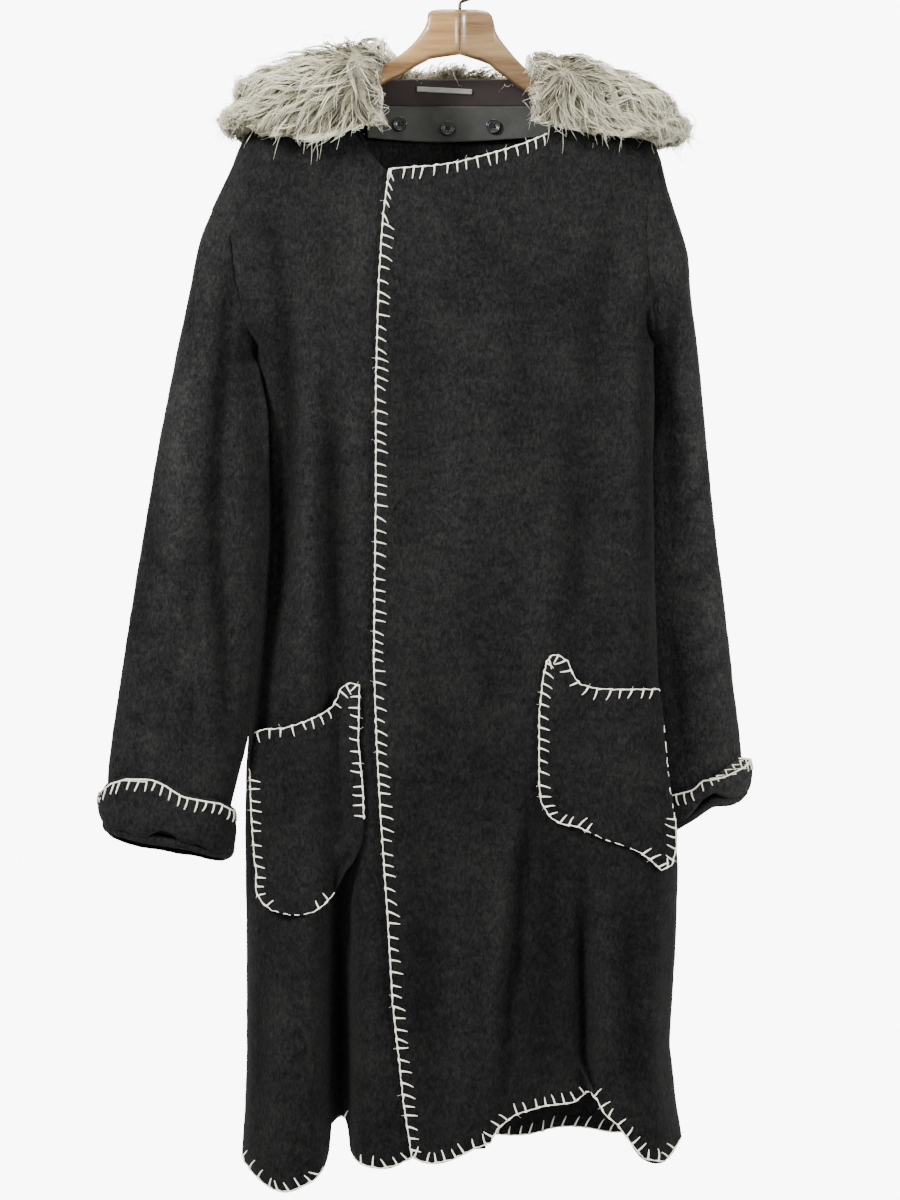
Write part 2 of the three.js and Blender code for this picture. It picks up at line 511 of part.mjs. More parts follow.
addPanel('front_under', {
  outline: panelOutline({
    top: underTop,
    leftEdge: sideLine('left'),
    rightEdge: edgeLine(underlapEdge),
    armLeft: armLeftPoints,
    armRight: edgeBeside(underlapEdge, levelMiddle),
    hem: hemUnder,
  }),
  depth: (x, z) => clothDepth('front', x, z),
  shoulder: (j) => j <= 8,
  sideColumn: 'left',
});
addPanel('front_over', {
  outline: panelOutline({
    top: overTop,
    leftEdge: edgeLine(frontEdge),
    rightEdge: sideLine('right'),
    armLeft: edgeBeside(frontEdge, levelMiddle),
    armRight: armRightPoints,
    hem: hemOver,
  }),
  depth: overDepth,
  shoulder: (j) => j >= 10,
  sideColumn: 'right',
});
addPanel('back_left', {
  outline: panelOutline({
    top: backLeftTop,
    leftEdge: sideLine('left'),
    rightEdge: (z) => edgeLine(centreBack)(z) - seam / 2,
    armLeft: armLeftPoints,
    armRight: edgeBeside(centreBack.map(({ x, z }) => ({ x: x - seam / 2, z })), levelMiddle),
    hem: hemBack.map(({ x, z }) => ({ x: x === 0 ? -seam / 2 : x, z })),
  }),
  depth: (x, z) => clothDepth('back', x, z),
  back: true,
  shoulder: (j) => j <= 8,
  sideColumn: 'left',
});
addPanel('back_right', {
  outline: panelOutline({
    top: backRightTop,
    leftEdge: (z) => edgeLine(centreBack)(z) + seam / 2,
    rightEdge: sideLine('right'),
    armLeft: edgeBeside(centreBack.map(({ x, z }) => ({ x: x + seam / 2, z })), levelMiddle),
    armRight: armRightPoints,
    hem: hemBackRight.map(({ x, z }) => ({ x: x === 0 ? seam / 2 : x, z })),
  }),
  depth: (x, z) => clothDepth('back', x, z),
  back: true,
  shoulder: (j) => j >= 5,
  sideColumn: 'right',
});

// Sleeves. The first ring is the armhole's own edge, moved out by the seam's clearance, and the
// others are squared ellipses between the outer and the inner edge of each section.
function armholeRing(front, back, column, next) {
  const outer = [];
  const inner = [];
  const move = (panel, i) => {
    const step = new THREE.Vector3().subVectors(panel.grid[i][column], panel.grid[i][next]);
    const before = panel.grid[Math.max(i - 1, 0)][column];
    const after = panel.grid[Math.min(i + 1, armRows)][column];
    const along = new THREE.Vector3().subVectors(after, before).normalize();
    return step.addScaledVector(along, -step.dot(along)).normalize().multiplyScalar(seam);
  };
  const take = (panel, i) => {
    const step = move(panel, i);
    outer.push(panel.grid[i][column].clone().add(step));
    inner.push(panel.inner[i][column].clone().add(step));
  };
  const takeBoth = (i) => {
    const step = move(front, i).add(move(back, i)).normalize().multiplyScalar(seam);
    const middle = (key) => front[key][i][column].clone().add(back[key][i][column])
      .multiplyScalar(0.5).add(step);
    outer.push(middle('grid'));
    inner.push(middle('inner'));
  };
  takeBoth(0);
  for (let i = 1; i < armRows; i += 1) take(front, i);
  takeBoth(armRows);
  for (let i = armRows - 1; i > 0; i -= 1) take(back, i);
  return { outer, inner };
}

const power = (value, exponent) => Math.sign(value) * Math.abs(value) ** exponent;

function sleeveSection(rows, s) {
  const at = (column) => lookUp(rows, 'step', s * (rows.length - 1), column);
  const outEdge = new THREE.Vector3(at('outX'), at('y'), at('outZ'));
  const inEdge = new THREE.Vector3(at('inX'), at('y'), at('inZ'));
  const centre = outEdge.clone().add(inEdge).multiplyScalar(0.5);
  const reach = outEdge.clone().sub(centre);
  return Array.from({ length: 2 * armRows }, (_, k) => {
    const angle = (Math.PI * k) / armRows;
    const across = power(Math.cos(angle), 2 / sleeveSquareness);
    const forward = power(Math.sin(angle), 2 / sleeveSquareness) * at('half');
    return centre.clone().addScaledVector(reach, across).add(new THREE.Vector3(0, -forward, 0));
  });
}

function addSleeve(side, rows) {
  const left = side === 'left';
  const front = panels[left ? 'front_under' : 'front_over'];
  const back = panels[`back_${side}`];
  const ring = armholeRing(
    { grid: mirrorEnd(front.grid, left), inner: mirrorEnd(front.inner, left) },
    { grid: mirrorEnd(back.grid, left), inner: mirrorEnd(back.inner, left) },
    0,
    1,
  );
  const stepped = rows.map((row, step) => ({ ...row, step }));
  const grid = [ring.outer];
  for (let i = 0; i < sleeveRings; i += 1) grid.push(sleeveSection(stepped, i / (sleeveRings - 1)));
  const inward = (normal, i, j, point) => {
    if (i === 0) normal.subVectors(ring.inner[j], point).divideScalar(cloth);
  };
  const { geometry } = wallGeometry(grid, cloth, { wrap: true, flip: left, inward });
  add(`sleeve_${side}`, geometry, paint.wool);
}

// A panel's grid with its armhole column first.
function mirrorEnd(grid, left) {
  return left ? grid : grid.map((row) => [...row].reverse());
}

addSleeve('left', sleeveLeft);
addSleeve('right', sleeveRight);

// Turned-up cuffs: a wall outside the sleeve's end, from its stitched upper edge down to the fold,
// where it curls in under the sleeve.
function addCuff(side, size, topEdge, endEdge) {
  const around = 20;
  const bulge = 2.5; // how far the cuff swells between its edges
  const curl = 5; // how far the fold turns in under the sleeve
  const steps = [0, 0.35, 0.7, 0.93, 1];
  const grid = steps.map((q) => Array.from({ length: around }, (_, k) => {
    const angle = (2 * Math.PI * k) / around;
    const inSide = THREE.MathUtils.lerp(size.topIn, size.endIn, q);
    const outSide = THREE.MathUtils.lerp(size.topOut, size.endOut, q);
    const grow = bulge * Math.sin(Math.PI * q) - (q === 1 ? curl : 0);
    const halfWidth = Math.abs(outSide - inSide) / 2 + grow;
    const outwards = Math.sign(outSide - inSide);
    const across = power(Math.cos(angle), 2 / sleeveSquareness) * outwards;
    const forward = power(Math.sin(angle), 2 / sleeveSquareness);
    const x = (inSide + outSide) / 2 + across * halfWidth;
    const dip = forward < 0 ? size.dip * -forward : 0;
    const top = lookUp(topEdge, 'x', x, 'z') - dip * 0.5;
    const end = lookUp(endEdge, 'x', x, 'z') - dip;
    const z = THREE.MathUtils.lerp(top, end, q) - (q === 1 ? 1 : 0);
    return new THREE.Vector3(x, size.y - forward * (size.half + grow), z);
  }));
  const left = side === 'left';
  const { geometry } = wallGeometry(grid, cloth, { wrap: true, flip: left });
  add(`cuff_${side}`, geometry, paint.wool);
}

addCuff('left', cuffs.left, cuffTopLeft, cuffEndLeft);
addCuff('right', cuffs.right, cuffTopRight, cuffEndRight);

// Depth of a panel's own faces at a place seen from the front.
function panelDepth(name) {
  const { grid } = panels[name];
  const faces = [];
  for (let i = 0; i < grid.length - 1; i += 1) {
    for (let j = 0; j < grid[0].length - 1; j += 1) {
      const [a, b, c, d] = [grid[i][j], grid[i][j + 1], grid[i + 1][j + 1], grid[i + 1][j]];
      faces.push([a, b, c], [a, c, d]);
    }
  }
  return (x, z) => {
    for (const [a, b, c] of faces) {
      const area = (b.x - a.x) * (c.z - a.z) - (c.x - a.x) * (b.z - a.z);
      const v = ((x - a.x) * (c.z - a.z) - (c.x - a.x) * (z - a.z)) / area;
      const w = ((b.x - a.x) * (z - a.z) - (x - a.x) * (b.z - a.z)) / area;
      if (v >= 0 && w >= 0 && v + w <= 1) return a.y + v * (b.y - a.y) + w * (c.y - a.y);
    }
    return Infinity;
  };
}

// Patch pockets, made from the front's own faces and moved out clear of what lies round each point.
function addPocket(name, shape, panel) {
  const faceDepth = panelDepth(panel);
  const near = [[0, 0], [7, 0], [-7, 0], [14, 0], [-14, 0], [0, 10], [0, -10]];
  const depth = (x, z) => Math.min(...near.map(([dx, dz]) => faceDepth(x + dx, z + dz)));
  const across = 9;
  const down = 9;
  const grid = [];
  for (let i = 0; i <= down; i += 1) {
    const a = i / down;
    grid.push(shape.mouth.map((mouth, j) => {
      const w = j / across;
      const end = shape.end[j];
      const z = THREE.MathUtils.lerp(mouth.z, end.z, a);
      const top = THREE.MathUtils.lerp(shape.mouth[0].x, shape.mouth[across].x, w);
      const bottom = THREE.MathUtils.lerp(shape.end[0].x, shape.end[across].x, w);
      const leftX = lookUp(shape.left, 'z', z, 'x');
      const rightX = lookUp(shape.right, 'z', z, 'x');
      const ownX = THREE.MathUtils.lerp(leftX, rightX, w);
      const edgeX = (1 - a) * (mouth.x - top) + a * (end.x - bottom);
      const x = i === 0 ? mouth.x : i === down ? end.x : ownX + edgeX;
      const mouthGap = 2.2 * Math.sin(Math.PI * w) * (1 - a) ** 3;
      return new THREE.Vector3(x, depth(x, z) - pocketStand - cloth - mouthGap, z);
    }));
  }
  const { geometry } = wallGeometry(grid, cloth, { flip: true });
  add(name, geometry, paint.wool);
}

addPocket('pocket_left', pocketLeft, 'front_under');
addPocket('pocket_right', pocketRight, 'front_over');

// A solid from closed sections in planes across X, each a list of y and z, with flat ends.
function loftGeometry(sections) {
  const count = sections[0].length;
  const positions = sections.flat().flatMap((point) => point.toArray());
  const index = [];
  for (let i = 0; i < sections.length - 1; i += 1) {
    for (let j = 0; j < count; j += 1) {
      const k = (j + 1) % count;
      const a = i * count + j;
      const b = i * count + k;
      index.push(a, b, b + count, a, b + count, a + count);
    }
  }
  const flat = (section) => section.map((point) => new THREE.Vector2(point.y, point.z));
  const end = (sections.length - 1) * count;
  for (const [a, b, c] of THREE.ShapeUtils.triangulateShape(flat(sections[0]), [])) {
    index.push(c, b, a);
  }
  for (const [a, b, c] of THREE.ShapeUtils.triangulateShape(flat(sections.at(-1)), [])) {
    index.push(end + a, end + b, end + c);
  }
  const geometry = new THREE.BufferGeometry();
  geometry.setAttribute('position', new THREE.Float32BufferAttribute(positions, 3));
  geometry.setIndex(index);
  geometry.computeVertexNormals();
  return geometry;
}

// Fur over a shoulder: an oval across the shoulder, hollowed from below where the shoulder runs.
function furSection({ x, top, end, half }) {
  const clearance = 3.2;
  const centre = (top + end) / 2;
  const reach = (top - end) / 2;
  const wood = x < 0 ? lookUp(hangerLeftRows, 'x', x, 'top') : lookUp(hangerRightRows, 'x', x, 'top');
  const arch = Math.max(lookUp(ridge, 'x', x, 'z'), wood) + clearance;
  const wideEnough = half > furArch + 6;
  const stations = wideEnough
    ? [-1, -0.86, (-furArch - 1) / half, -furArch / half, 0, furArch / half, (furArch + 1) / half, 0.86, 1]
    : [-1, -0.8, -0.6, -0.4, 0, 0.4, 0.6, 0.8, 1];
  const bow = (s) => Math.sqrt(Math.max(1 - Math.abs(s) ** 2.6, 0));
  const upper = stations.map((s) => [s * half, centre + reach * bow(s)]);
  const lower = stations.slice(1, -1).map((s) => {
    const under = centre - reach * bow(s);
    const inArch = Math.abs(s * half) <= furArch + 0.01 || !wideEnough;
    return [s * half, inArch ? Math.max(under, arch) : under];
  });
  const outline = [...upper.reverse(), ...lower];
  return outline.map(([y, z]) => new THREE.Vector3(x, y, z));
}

add('fur_left', loftGeometry(furLeftRows.map(furSection)), paint.fur);
add('fur_right', loftGeometry(furRightRows.map(furSection)), paint.fur);

// Fur behind the neck: it falls outwards over the lining's upper edge.
const furBackOutline = [
  { out: -14, down: 19 }, { out: -15, down: 12 }, { out: -11, down: 4 }, { out: -2, down: 0 },
  { out: 11, down: 3 }, { out: 20, down: 16 }, { out: 27, down: 40 }, { out: 24, down: 68 },
  { out: 15, down: 84 }, { out: 6, down: 76 }, { out: 0, down: 60 }, { out: -1, down: 19 },
  { out: -8, down: 12 }, { out: -11, down: 19 },
];
function furBackSection({ x, top, y }) {
  return furBackOutline.map(({ out, down }) => new THREE.Vector3(x, y + out, top - down)).reverse();
}
add('fur_back', loftGeometry(furBackRows.map(furBackSection)), paint.fur);

// Strips round the inside of the back neck: the depth of the back's inner face at a place.
const neckInside = (x, z) => clothDepth('back', x, z) - cloth;

function stripGrid({ left, right, columns, rows, top, end, depth }) {
  return Array.from({ length: rows + 1 }, (_, i) => Array.from({ length: columns + 1 }, (__, j) => {
    const x = THREE.MathUtils.lerp(left, right, j / columns);
    const z = THREE.MathUtils.lerp(top(x), end(x), i / rows);
    return new THREE.Vector3(x, depth(x, z), z);
  }));
}

const bandFace = (x) => neckInside(x, -182) - neckTrim.bandGap - neckTrim.bandThick;
const bandGrid = stripGrid({
  left: -neckTrim.half,
  right: neckTrim.half,
  columns: 14,
  rows: 3,
  top: () => neckTrim.bandTop,
  end: (x) => lookUp(neckTrim.bandEnd, 'x', x, 'z'),
  depth: bandFace,
});
add('neck_band', wallGeometry(bandGrid, neckTrim.bandThick, { flip: true }).geometry, paint.band);

const liningGrid = stripGrid({
  left: -neckTrim.liningHalf,
  right: neckTrim.liningHalf,
  columns: 12,
  rows: 2,
  top: () => neckTrim.liningTop,
  end: () => neckTrim.bandTop + neckTrim.gap,
  depth: bandFace,
});
add('collar_lining', wallGeometry(liningGrid, neckTrim.liningThick, { flip: true }).geometry, paint.lining);

const labelGrid = stripGrid({
  left: neckTrim.labelLeft,
  right: neckTrim.labelRight,
  columns: 12,
  rows: 1,
  top: () => neckTrim.labelTop,
  end: () => neckTrim.labelEnd,
  depth: (x) => bandFace(x) - 2 * neckTrim.gap - neckTrim.labelThick,
});
add('label', wallGeometry(labelGrid, neckTrim.labelThick, { flip: true }).geometry, paint.label);

// Buttons: a rimmed disc that faces the front, with four holes through it.
function solidOf(geometry) {
  const bare = geometry.clone();
  bare.deleteAttribute('normal');
  bare.deleteAttribute('uv');
  const merged = mergeVertices(bare, 1e-4);
  const index = merged.index.array;
  const triVerts = [];
  for (let i = 0; i < index.length; i += 3) {
    const [a, b, c] = index.slice(i, i + 3);
    if (a !== b && b !== c && a !== c) triVerts.push(a, b, c);
  }
  return new wasm.Manifold(new wasm.Mesh({
    numProp: 3,
    vertProperties: new Float32Array(merged.attributes.position.array),
    triVerts: new Uint32Array(triVerts),
  }));
}

function geometryOf(solid) {
  const mesh = solid.getMesh();
  const geometry = new THREE.BufferGeometry();
  geometry.setAttribute('position', new THREE.BufferAttribute(mesh.vertProperties, 3));
  geometry.setIndex(new THREE.BufferAttribute(mesh.triVerts, 1));
  geometry.computeVertexNormals();
  return geometry;
}

function buttonGeometry() {
  const radius = button.across / 2;
  const well = button.thick - 1; // height of the face inside the rim
  const profile = [
    [0, 0], [radius - 1, 0], [radius, 0.9], [radius, button.thick - 0.6], [radius - 0.5, button.thick],
    [radius - button.rim, button.thick], [radius - button.rim - 0.7, well], [0, well],
  ].map(([across, height]) => new THREE.Vector2(across, height));
  let solid = solidOf(new THREE.LatheGeometry(profile, 20));
  for (let k = 0; k < 4; k += 1) {
    const angle = Math.PI / 4 + (k * Math.PI) / 2;
    const drill = new THREE.CylinderGeometry(button.hole / 2, button.hole / 2, 3 * button.thick, 8);
    const reach = button.holeCircle / 2;
    drill.translate(Math.cos(angle) * reach, 0, Math.sin(angle) * reach);
    solid = solid.subtract(solidOf(drill));
  }
  return geometryOf(solid);
}

buttonPlaces.forEach((place, i) => {
  const mesh = add(`button_${i + 1}`, buttonGeometry(), paint.button);
  mesh.rotation.x = Math.PI;
  mesh.position.set(place.x, bandFace(place.x) - button.gap, place.z);
});

// Hanger: two wooden halves that meet in the middle, and a wire hook.
function woodSection({ x, top, end, half }) {
  const corners = 12;
  return Array.from({ length: corners }, (_, k) => {
    const angle = (2 * Math.PI * (k + 0.5)) / corners;
    const y = half * power(Math.cos(angle), 0.62);
    const z = (top + end) / 2 + ((top - end) / 2) * power(Math.sin(angle), 0.62);
    return new THREE.Vector3(x, y, z);
  });
}
add('hanger_left', loftGeometry([...hangerLeftRows].reverse().map(woodSection)), paint.wood);
add('hanger_right', loftGeometry(hangerRightRows.map(woodSection)), paint.wood);

const hookRadius = hookInside + hookWire / 2;
const hookCentre = -hookInside;
const onHook = (degrees) => {
  const angle = THREE.MathUtils.degToRad(degrees);
  return new THREE.Vector3(hookRadius * Math.cos(angle), 0, hookCentre + hookRadius * Math.sin(angle));
};
const hookPath = new THREE.CatmullRomCurve3([
  new THREE.Vector3(0, 0, hookFoot), new THREE.Vector3(0, 0, hookFoot + 4),
  new THREE.Vector3(0.6, 0, hookFoot + 7), new THREE.Vector3(4, 0, hookFoot + 9),
  ...[-62, -35, 0, 35, 70, 90, 120, 150, 180, 208].map(onHook),
]);
const wireSection = new THREE.Shape().absarc(0, 0, hookWire / 2, 0, 2 * Math.PI);
const hookGeometry = new THREE.ExtrudeGeometry(wireSection, {
  extrudePath: hookPath, steps: 40, curveSegments: 4,
});
add('hook', hookGeometry, paint.metal);

export default coat;
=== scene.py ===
import math

import bmesh
import bpy
import numpy as np
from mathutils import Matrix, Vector, noise
from mathutils.bvhtree import BVHTree


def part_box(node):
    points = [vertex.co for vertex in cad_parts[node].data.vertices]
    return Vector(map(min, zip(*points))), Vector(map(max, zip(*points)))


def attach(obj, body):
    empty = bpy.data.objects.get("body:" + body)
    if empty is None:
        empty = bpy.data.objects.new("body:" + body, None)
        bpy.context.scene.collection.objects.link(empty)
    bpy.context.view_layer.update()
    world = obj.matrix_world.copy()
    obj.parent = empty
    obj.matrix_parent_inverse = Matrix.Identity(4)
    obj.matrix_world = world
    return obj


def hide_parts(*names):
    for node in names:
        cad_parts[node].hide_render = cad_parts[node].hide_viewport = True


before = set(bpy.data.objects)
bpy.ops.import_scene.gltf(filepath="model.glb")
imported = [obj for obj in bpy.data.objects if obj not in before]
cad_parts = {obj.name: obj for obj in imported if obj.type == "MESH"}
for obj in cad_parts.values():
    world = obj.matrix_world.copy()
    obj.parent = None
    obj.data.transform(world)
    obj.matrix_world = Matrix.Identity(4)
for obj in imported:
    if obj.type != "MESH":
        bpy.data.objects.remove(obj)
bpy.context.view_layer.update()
mm = 0.001
draw = np.random.RandomState(11)


class Flow:  # a socket that can be used in sums
    def __init__(self, finish, socket):
        self.finish = finish
        self.socket = socket

    def sum(self, operation, first, second=None):
        return self.finish.node("ShaderNodeMath", {"operation": operation}, {0: first, 1: second})

    def __add__(self, other):
        return self.sum("ADD", self, other)

    def __sub__(self, other):
        return self.sum("SUBTRACT", self, other)

    def __mul__(self, other):
        return self.sum("MULTIPLY", self, other)

    def __rsub__(self, other):
        return self.sum("SUBTRACT", other, self)

    def __abs__(self):
        return self.sum("ABSOLUTE", self)

    __radd__ = __add__
    __rmul__ = __mul__


class Finish:  # a material while it is made
    def __init__(self, name, **constants):
        self.material = bpy.data.materials.new(name)
        self.material.use_nodes = True
        self.tree = self.material.node_tree
        self.tree.nodes.clear()
        self.shader = self.tree.nodes.new("ShaderNodeBsdfPrincipled")
        out = self.tree.nodes.new("ShaderNodeOutputMaterial")
        self.tree.links.new(self.shader.outputs[0], out.inputs[0])
        for key, value in constants.items():
            self.shader.inputs[key.replace("_", " ")].default_value = value
        self.place = self.node("ShaderNodeTexCoord", {}, {}, "Object")

    def node(self, kind, settings, inputs, output=0):
        made = self.tree.nodes.new(kind)
        for key, value in settings.items():
            if key == "stops":
                ramp = made.color_ramp
                while len(ramp.elements) < len(value):
                    ramp.elements.new(0.5)
                for element, (position, colour) in zip(ramp.elements, value):
                    element.position = position
                    element.color = (*colour, 1)
            else:
                setattr(made, key, value)
        for key, value in inputs.items():
            if isinstance(value, Flow):
                self.tree.links.new(value.socket, made.inputs[key])
            elif value is not None:
                made.inputs[key].default_value = value
        return Flow(self, made.outputs[output])

    def feed(self, name, flow):
        self.tree.links.new(flow.socket, self.shader.inputs[name])

    def noise(self, scale, detail=2, roughness=0.5, stretch=None, turn=(0, 0, 0), distortion=0):
        place = self.place
        if stretch:
            place = self.node("ShaderNodeMapping", {}, {"Vector": place, "Scale": stretch, "Rotation": turn})
        return self.node("ShaderNodeTexNoise", {}, {
            "Vector": place, "Scale": scale, "Detail": detail, "Roughness": roughness,
            "Distortion": distortion})

    def ramp(self, factor, *stops):
        return self.node("ShaderNodeValToRGB", {"stops": stops}, {0: factor})

    def range(self, flow, low, high, toLow=0.0, toHigh=1.0):
        return self.node("ShaderNodeMapRange", {}, {0: flow, 1: low, 2: high, 3: toLow, 4: toHigh})

    def mix(self, factor, first, second, blend="MIX"):
        return self.node("ShaderNodeMix", {"data_type": "RGBA", "blend_type": blend},
                         {0: factor, 6: first, 7: second}, 2)

    def axis(self, name):
        return self.node("ShaderNodeSeparateXYZ", {}, {"Vector": self.place}, name)

    def attribute(self, name):
        return self.node("ShaderNodeAttribute", {"attribute_name": name}, {}, "Fac")

    def bump(self, height, distance, strength=1.0):
        self.feed("Normal", self.node("ShaderNodeBump", {}, {
            "Height": height, "Distance": distance, "Strength": strength}))


woolLook = {"dark": (0.0048, 0.005, 0.005), "middle": (0.0101, 0.0105, 0.0101),
            "light": (0.0192, 0.0195, 0.0183), "nap": 520, "tuft": 210, "cloud": 60, "patch": 11,
            "pile": 2.6 * mm}


def makeWool(name):
    wool = Finish(name, Roughness=0.95, Sheen_Weight=0.035, Sheen_Roughness=0.5,
                  Sheen_Tint=(0.6, 0.59, 0.58, 1), Specular_IOR_Level=0.015)
    nap = wool.noise(woolLook["nap"], 2, 0.6, (1, 1, 0.45))
    tuft = wool.noise(woolLook["tuft"], 3, 0.62, (1.2, 1.2, 0.8), distortion=0.7)
    cloud = wool.noise(woolLook["cloud"], 3, 0.6, (0.8, 0.8, 1.4))
    patch = wool.noise(woolLook["patch"], 2, 0.5)
    mottle = nap * 0.3 + tuft * 0.38 + cloud * 0.17 + patch * 0.15
    worn = wool.ramp(mottle, (0.39, woolLook["dark"]), (0.5, woolLook["middle"]), (0.62, woolLook["light"]))
    aside, height = wool.axis("X"), wool.axis("Z")
    # painted light: the sleeves are made lighter than the body, the right one most
    sleeve = wool.range(abs(aside), 0.2, 0.29, 1, 1.25) * wool.range(aside, 0.195, 0.27, 1, 1.75)
    fold = 1.1 - wool.attribute("fold") * 0.6  # painted shade: valleys of the creases are darker, and ridges are lighter as a painted highlight
    shade = fold * sleeve * wool.range(height, -1.2, -0.3, 0.66, 1.1)  # painted shade: the skirt is darker too, towards the bottom
    wool.feed("Base Color", wool.mix(1.0, worn, shade, "MULTIPLY"))
    wool.bump(nap * 0.35 + tuft * 0.9 + cloud * 0.5, woolLook["pile"])
    return wool.material


def makeFur(name):
    fur = Finish(name, Roughness=0.6, Sheen_Weight=0.15, Sheen_Roughness=0.4, Specular_IOR_Level=0.25)
    along = fur.attribute("along")
    tone = fur.attribute("tone")
    grey = fur.ramp(along, (0.0, (0.125, 0.115, 0.077)), (0.4, (0.26, 0.24, 0.16)),
                    (0.75, (0.45, 0.42, 0.285)), (1.0, (0.78, 0.74, 0.53)))
    cream = fur.ramp(along, (0.0, (0.19, 0.175, 0.118)), (0.3, (0.55, 0.515, 0.355)),
                     (0.65, (0.92, 0.88, 0.66)), (1.0, (1.0, 0.98, 0.82)))
    fur.feed("Base Color", fur.mix(tone, grey, cream))
    fur.bump(fur.noise(2400, 2), 0.15 * mm, 0.4)
    return fur.material


def makeFurSkin(name):
    skin = Finish(name, Roughness=0.9, Specular_IOR_Level=0.1)
    down = skin.noise(260, 3, 0.6, distortion=1.2)
    skin.feed("Base Color", skin.ramp(down, (0.3, (0.14, 0.13, 0.087)), (0.7, (0.38, 0.355, 0.24))))
    skin.bump(down, 2 * mm)
    return skin.material


def makeYarn(name):
    yarn = Finish(name, Roughness=0.88, Sheen_Weight=0.25, Sheen_Roughness=0.5, Specular_IOR_Level=0.15)
    fibre = yarn.noise(2600, 3, 0.6)
    worn = yarn.noise(90, 2)
    yarn.feed("Base Color", yarn.ramp(fibre * 0.5 + worn * 0.5, (0.3, (0.66, 0.6, 0.43)),
                                      (0.5, (0.9, 0.87, 0.74)), (0.7, (0.98, 0.965, 0.88))))
    yarn.bump(fibre, 0.4 * mm, 0.8)
    return yarn.material


def makeWeave(name, dark, light, roughness, pitch, ribbed=0.0):
    cloth = Finish(name, Roughness=roughness, Sheen_Weight=0.1, Sheen_Roughness=0.4, Specular_IOR_Level=0.3)
    scale = 0.314 / pitch  # gives a wave of that pitch
    warp, weft = (cloth.node("ShaderNodeTexWave", {"bands_direction": axis, "wave_profile": "SIN"}, {
        "Vector": cloth.place, "Scale": scale, "Distortion": 0.6, "Detail Scale": 4}, output)
        for axis, output in (("X", 0), ("Z", 1)))
    threads = warp * 0.5 + weft * (0.5 + ribbed)
    cloud = cloth.noise(45, 3, 0.6)
    cloth.feed("Base Color", cloth.ramp(threads * 0.35 + cloud * 0.65, (0.25, dark), (0.75, light)))
    cloth.bump(threads, 0.25 * mm, 0.7)
    return cloth.material


woodLook = {"pale": (0.42, 0.25, 0.096), "middle": (0.306, 0.169, 0.063), "dark": (0.17, 0.083, 0.029),
            "glue": (0.05, 0.025, 0.012, 1), "ring": 26, "line": 240, "pore": 900}


def makeWood(name, turn, tint=(1, 1, 1)):
    wood = Finish(name, Roughness=0.36, Coat_Weight=0.45, Coat_Roughness=0.16, Specular_IOR_Level=0.45)
    lie = (0, turn, 0)
    ring = wood.noise(woodLook["ring"], 3, 0.5, (0.14, 1.4, 1.6), lie, 0.8)
    line = wood.noise(woodLook["line"], 3, 0.6, (0.06, 1, 1), lie, 0.3)
    pore = wood.noise(woodLook["pore"], 2, 0.5, (0.035, 1, 1), lie)
    pale, middle, dark = ([c * t for c, t in zip(woodLook[key], tint)] for key in ("pale", "middle", "dark"))
    grain = ring * 0.5 + line * 0.35 + pore * 0.15
    clear = wood.range(abs(wood.axis("X")), 0.3 * mm, 0.9 * mm)  # of the glue between the halves
    colour = wood.ramp(grain, (0.34, dark), (0.48, middle), (0.62, pale))
    wood.feed("Base Color", wood.mix(clear, woodLook["glue"], colour))
    wood.feed("Roughness", wood.range(line, 0.3, 0.7, 0.3, 0.46))
    wood.bump(pore, 0.08 * mm, 0.5)
    return wood.material


def makeHard(name, colour, roughness, metallic, coat, grime):
    hard = Finish(name, Metallic=metallic, Coat_Weight=coat, Coat_Roughness=0.12)
    film = hard.noise(grime, 4, 0.6)
    dull, bright = ([c * share for c in colour] for share in (0.7, 1.25))
    hard.feed("Base Color", hard.ramp(film, (0.3, dull), (0.7, bright)))
    hard.feed("Roughness", hard.range(film, 0.3, 0.7, roughness * 0.8, roughness * 1.3))
    hard.bump(hard.noise(grime * 3, 3), 0.06 * mm, 0.3)
    return hard.material


wool = makeWool("woolNap")
furHair = makeFur("furHair")
furSkin = makeFurSkin("furSkin")
ivoryYarn = makeYarn("ivoryYarn")
bandCloth = makeWeave("bandCloth", (0.03, 0.031, 0.028), (0.068, 0.07, 0.062), 0.7, 0.6 * mm)
liningCloth = makeWeave("liningCloth", (0.009, 0.0058, 0.0056), (0.028, 0.0155, 0.0145), 0.5, 0.4 * mm)
labelTape = makeWeave("labelTape", (0.1, 0.1, 0.09), (0.36, 0.36, 0.32), 0.75, 0.9 * mm, 0.6)
darkButton = makeHard("darkButton", (0.018, 0.02, 0.02), 0.3, 0, 0.35, 260)
darkThread = makeHard("darkThread", (0.012, 0.012, 0.013), 0.8, 0, 0, 900)
bronze = makeHard("bronzedWire", (0.06, 0.047, 0.036), 0.34, 0.9, 0.1, 120)
woodLeft = makeWood("woodLeft", math.radians(-30))
# the right half is darker wood, and its paler, bluer cast is a painted reflection of the room's sheen
woodRight = makeWood("woodRight", math.radians(31), (0.7, 0.76, 0.88))
print("materials made")


def added(name, data):
    obj = bpy.data.objects.new(name, data)
    bpy.context.scene.collection.objects.link(obj)
    return obj


def addPiece(name, mesh, material, slotName, *nodes):
    piece = added(name, mesh)
    mesh.materials.clear()
    mesh.materials.append(material)
    mesh.polygons.foreach_set("material_index", np.zeros(len(mesh.polygons), int))
    mesh.shade_smooth()
    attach(piece, "root")
    if nodes:
        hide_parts(*nodes)
    return piece


def settled(obj, name):  # the mesh with its modifiers taken up
    bpy.context.view_layer.update()
    view = bpy.context.evaluated_depsgraph_get()
    mesh = bpy.data.meshes.new_from_object(obj.evaluated_get(view))
    mesh.name = name
    bpy.data.objects.remove(obj)
    return mesh


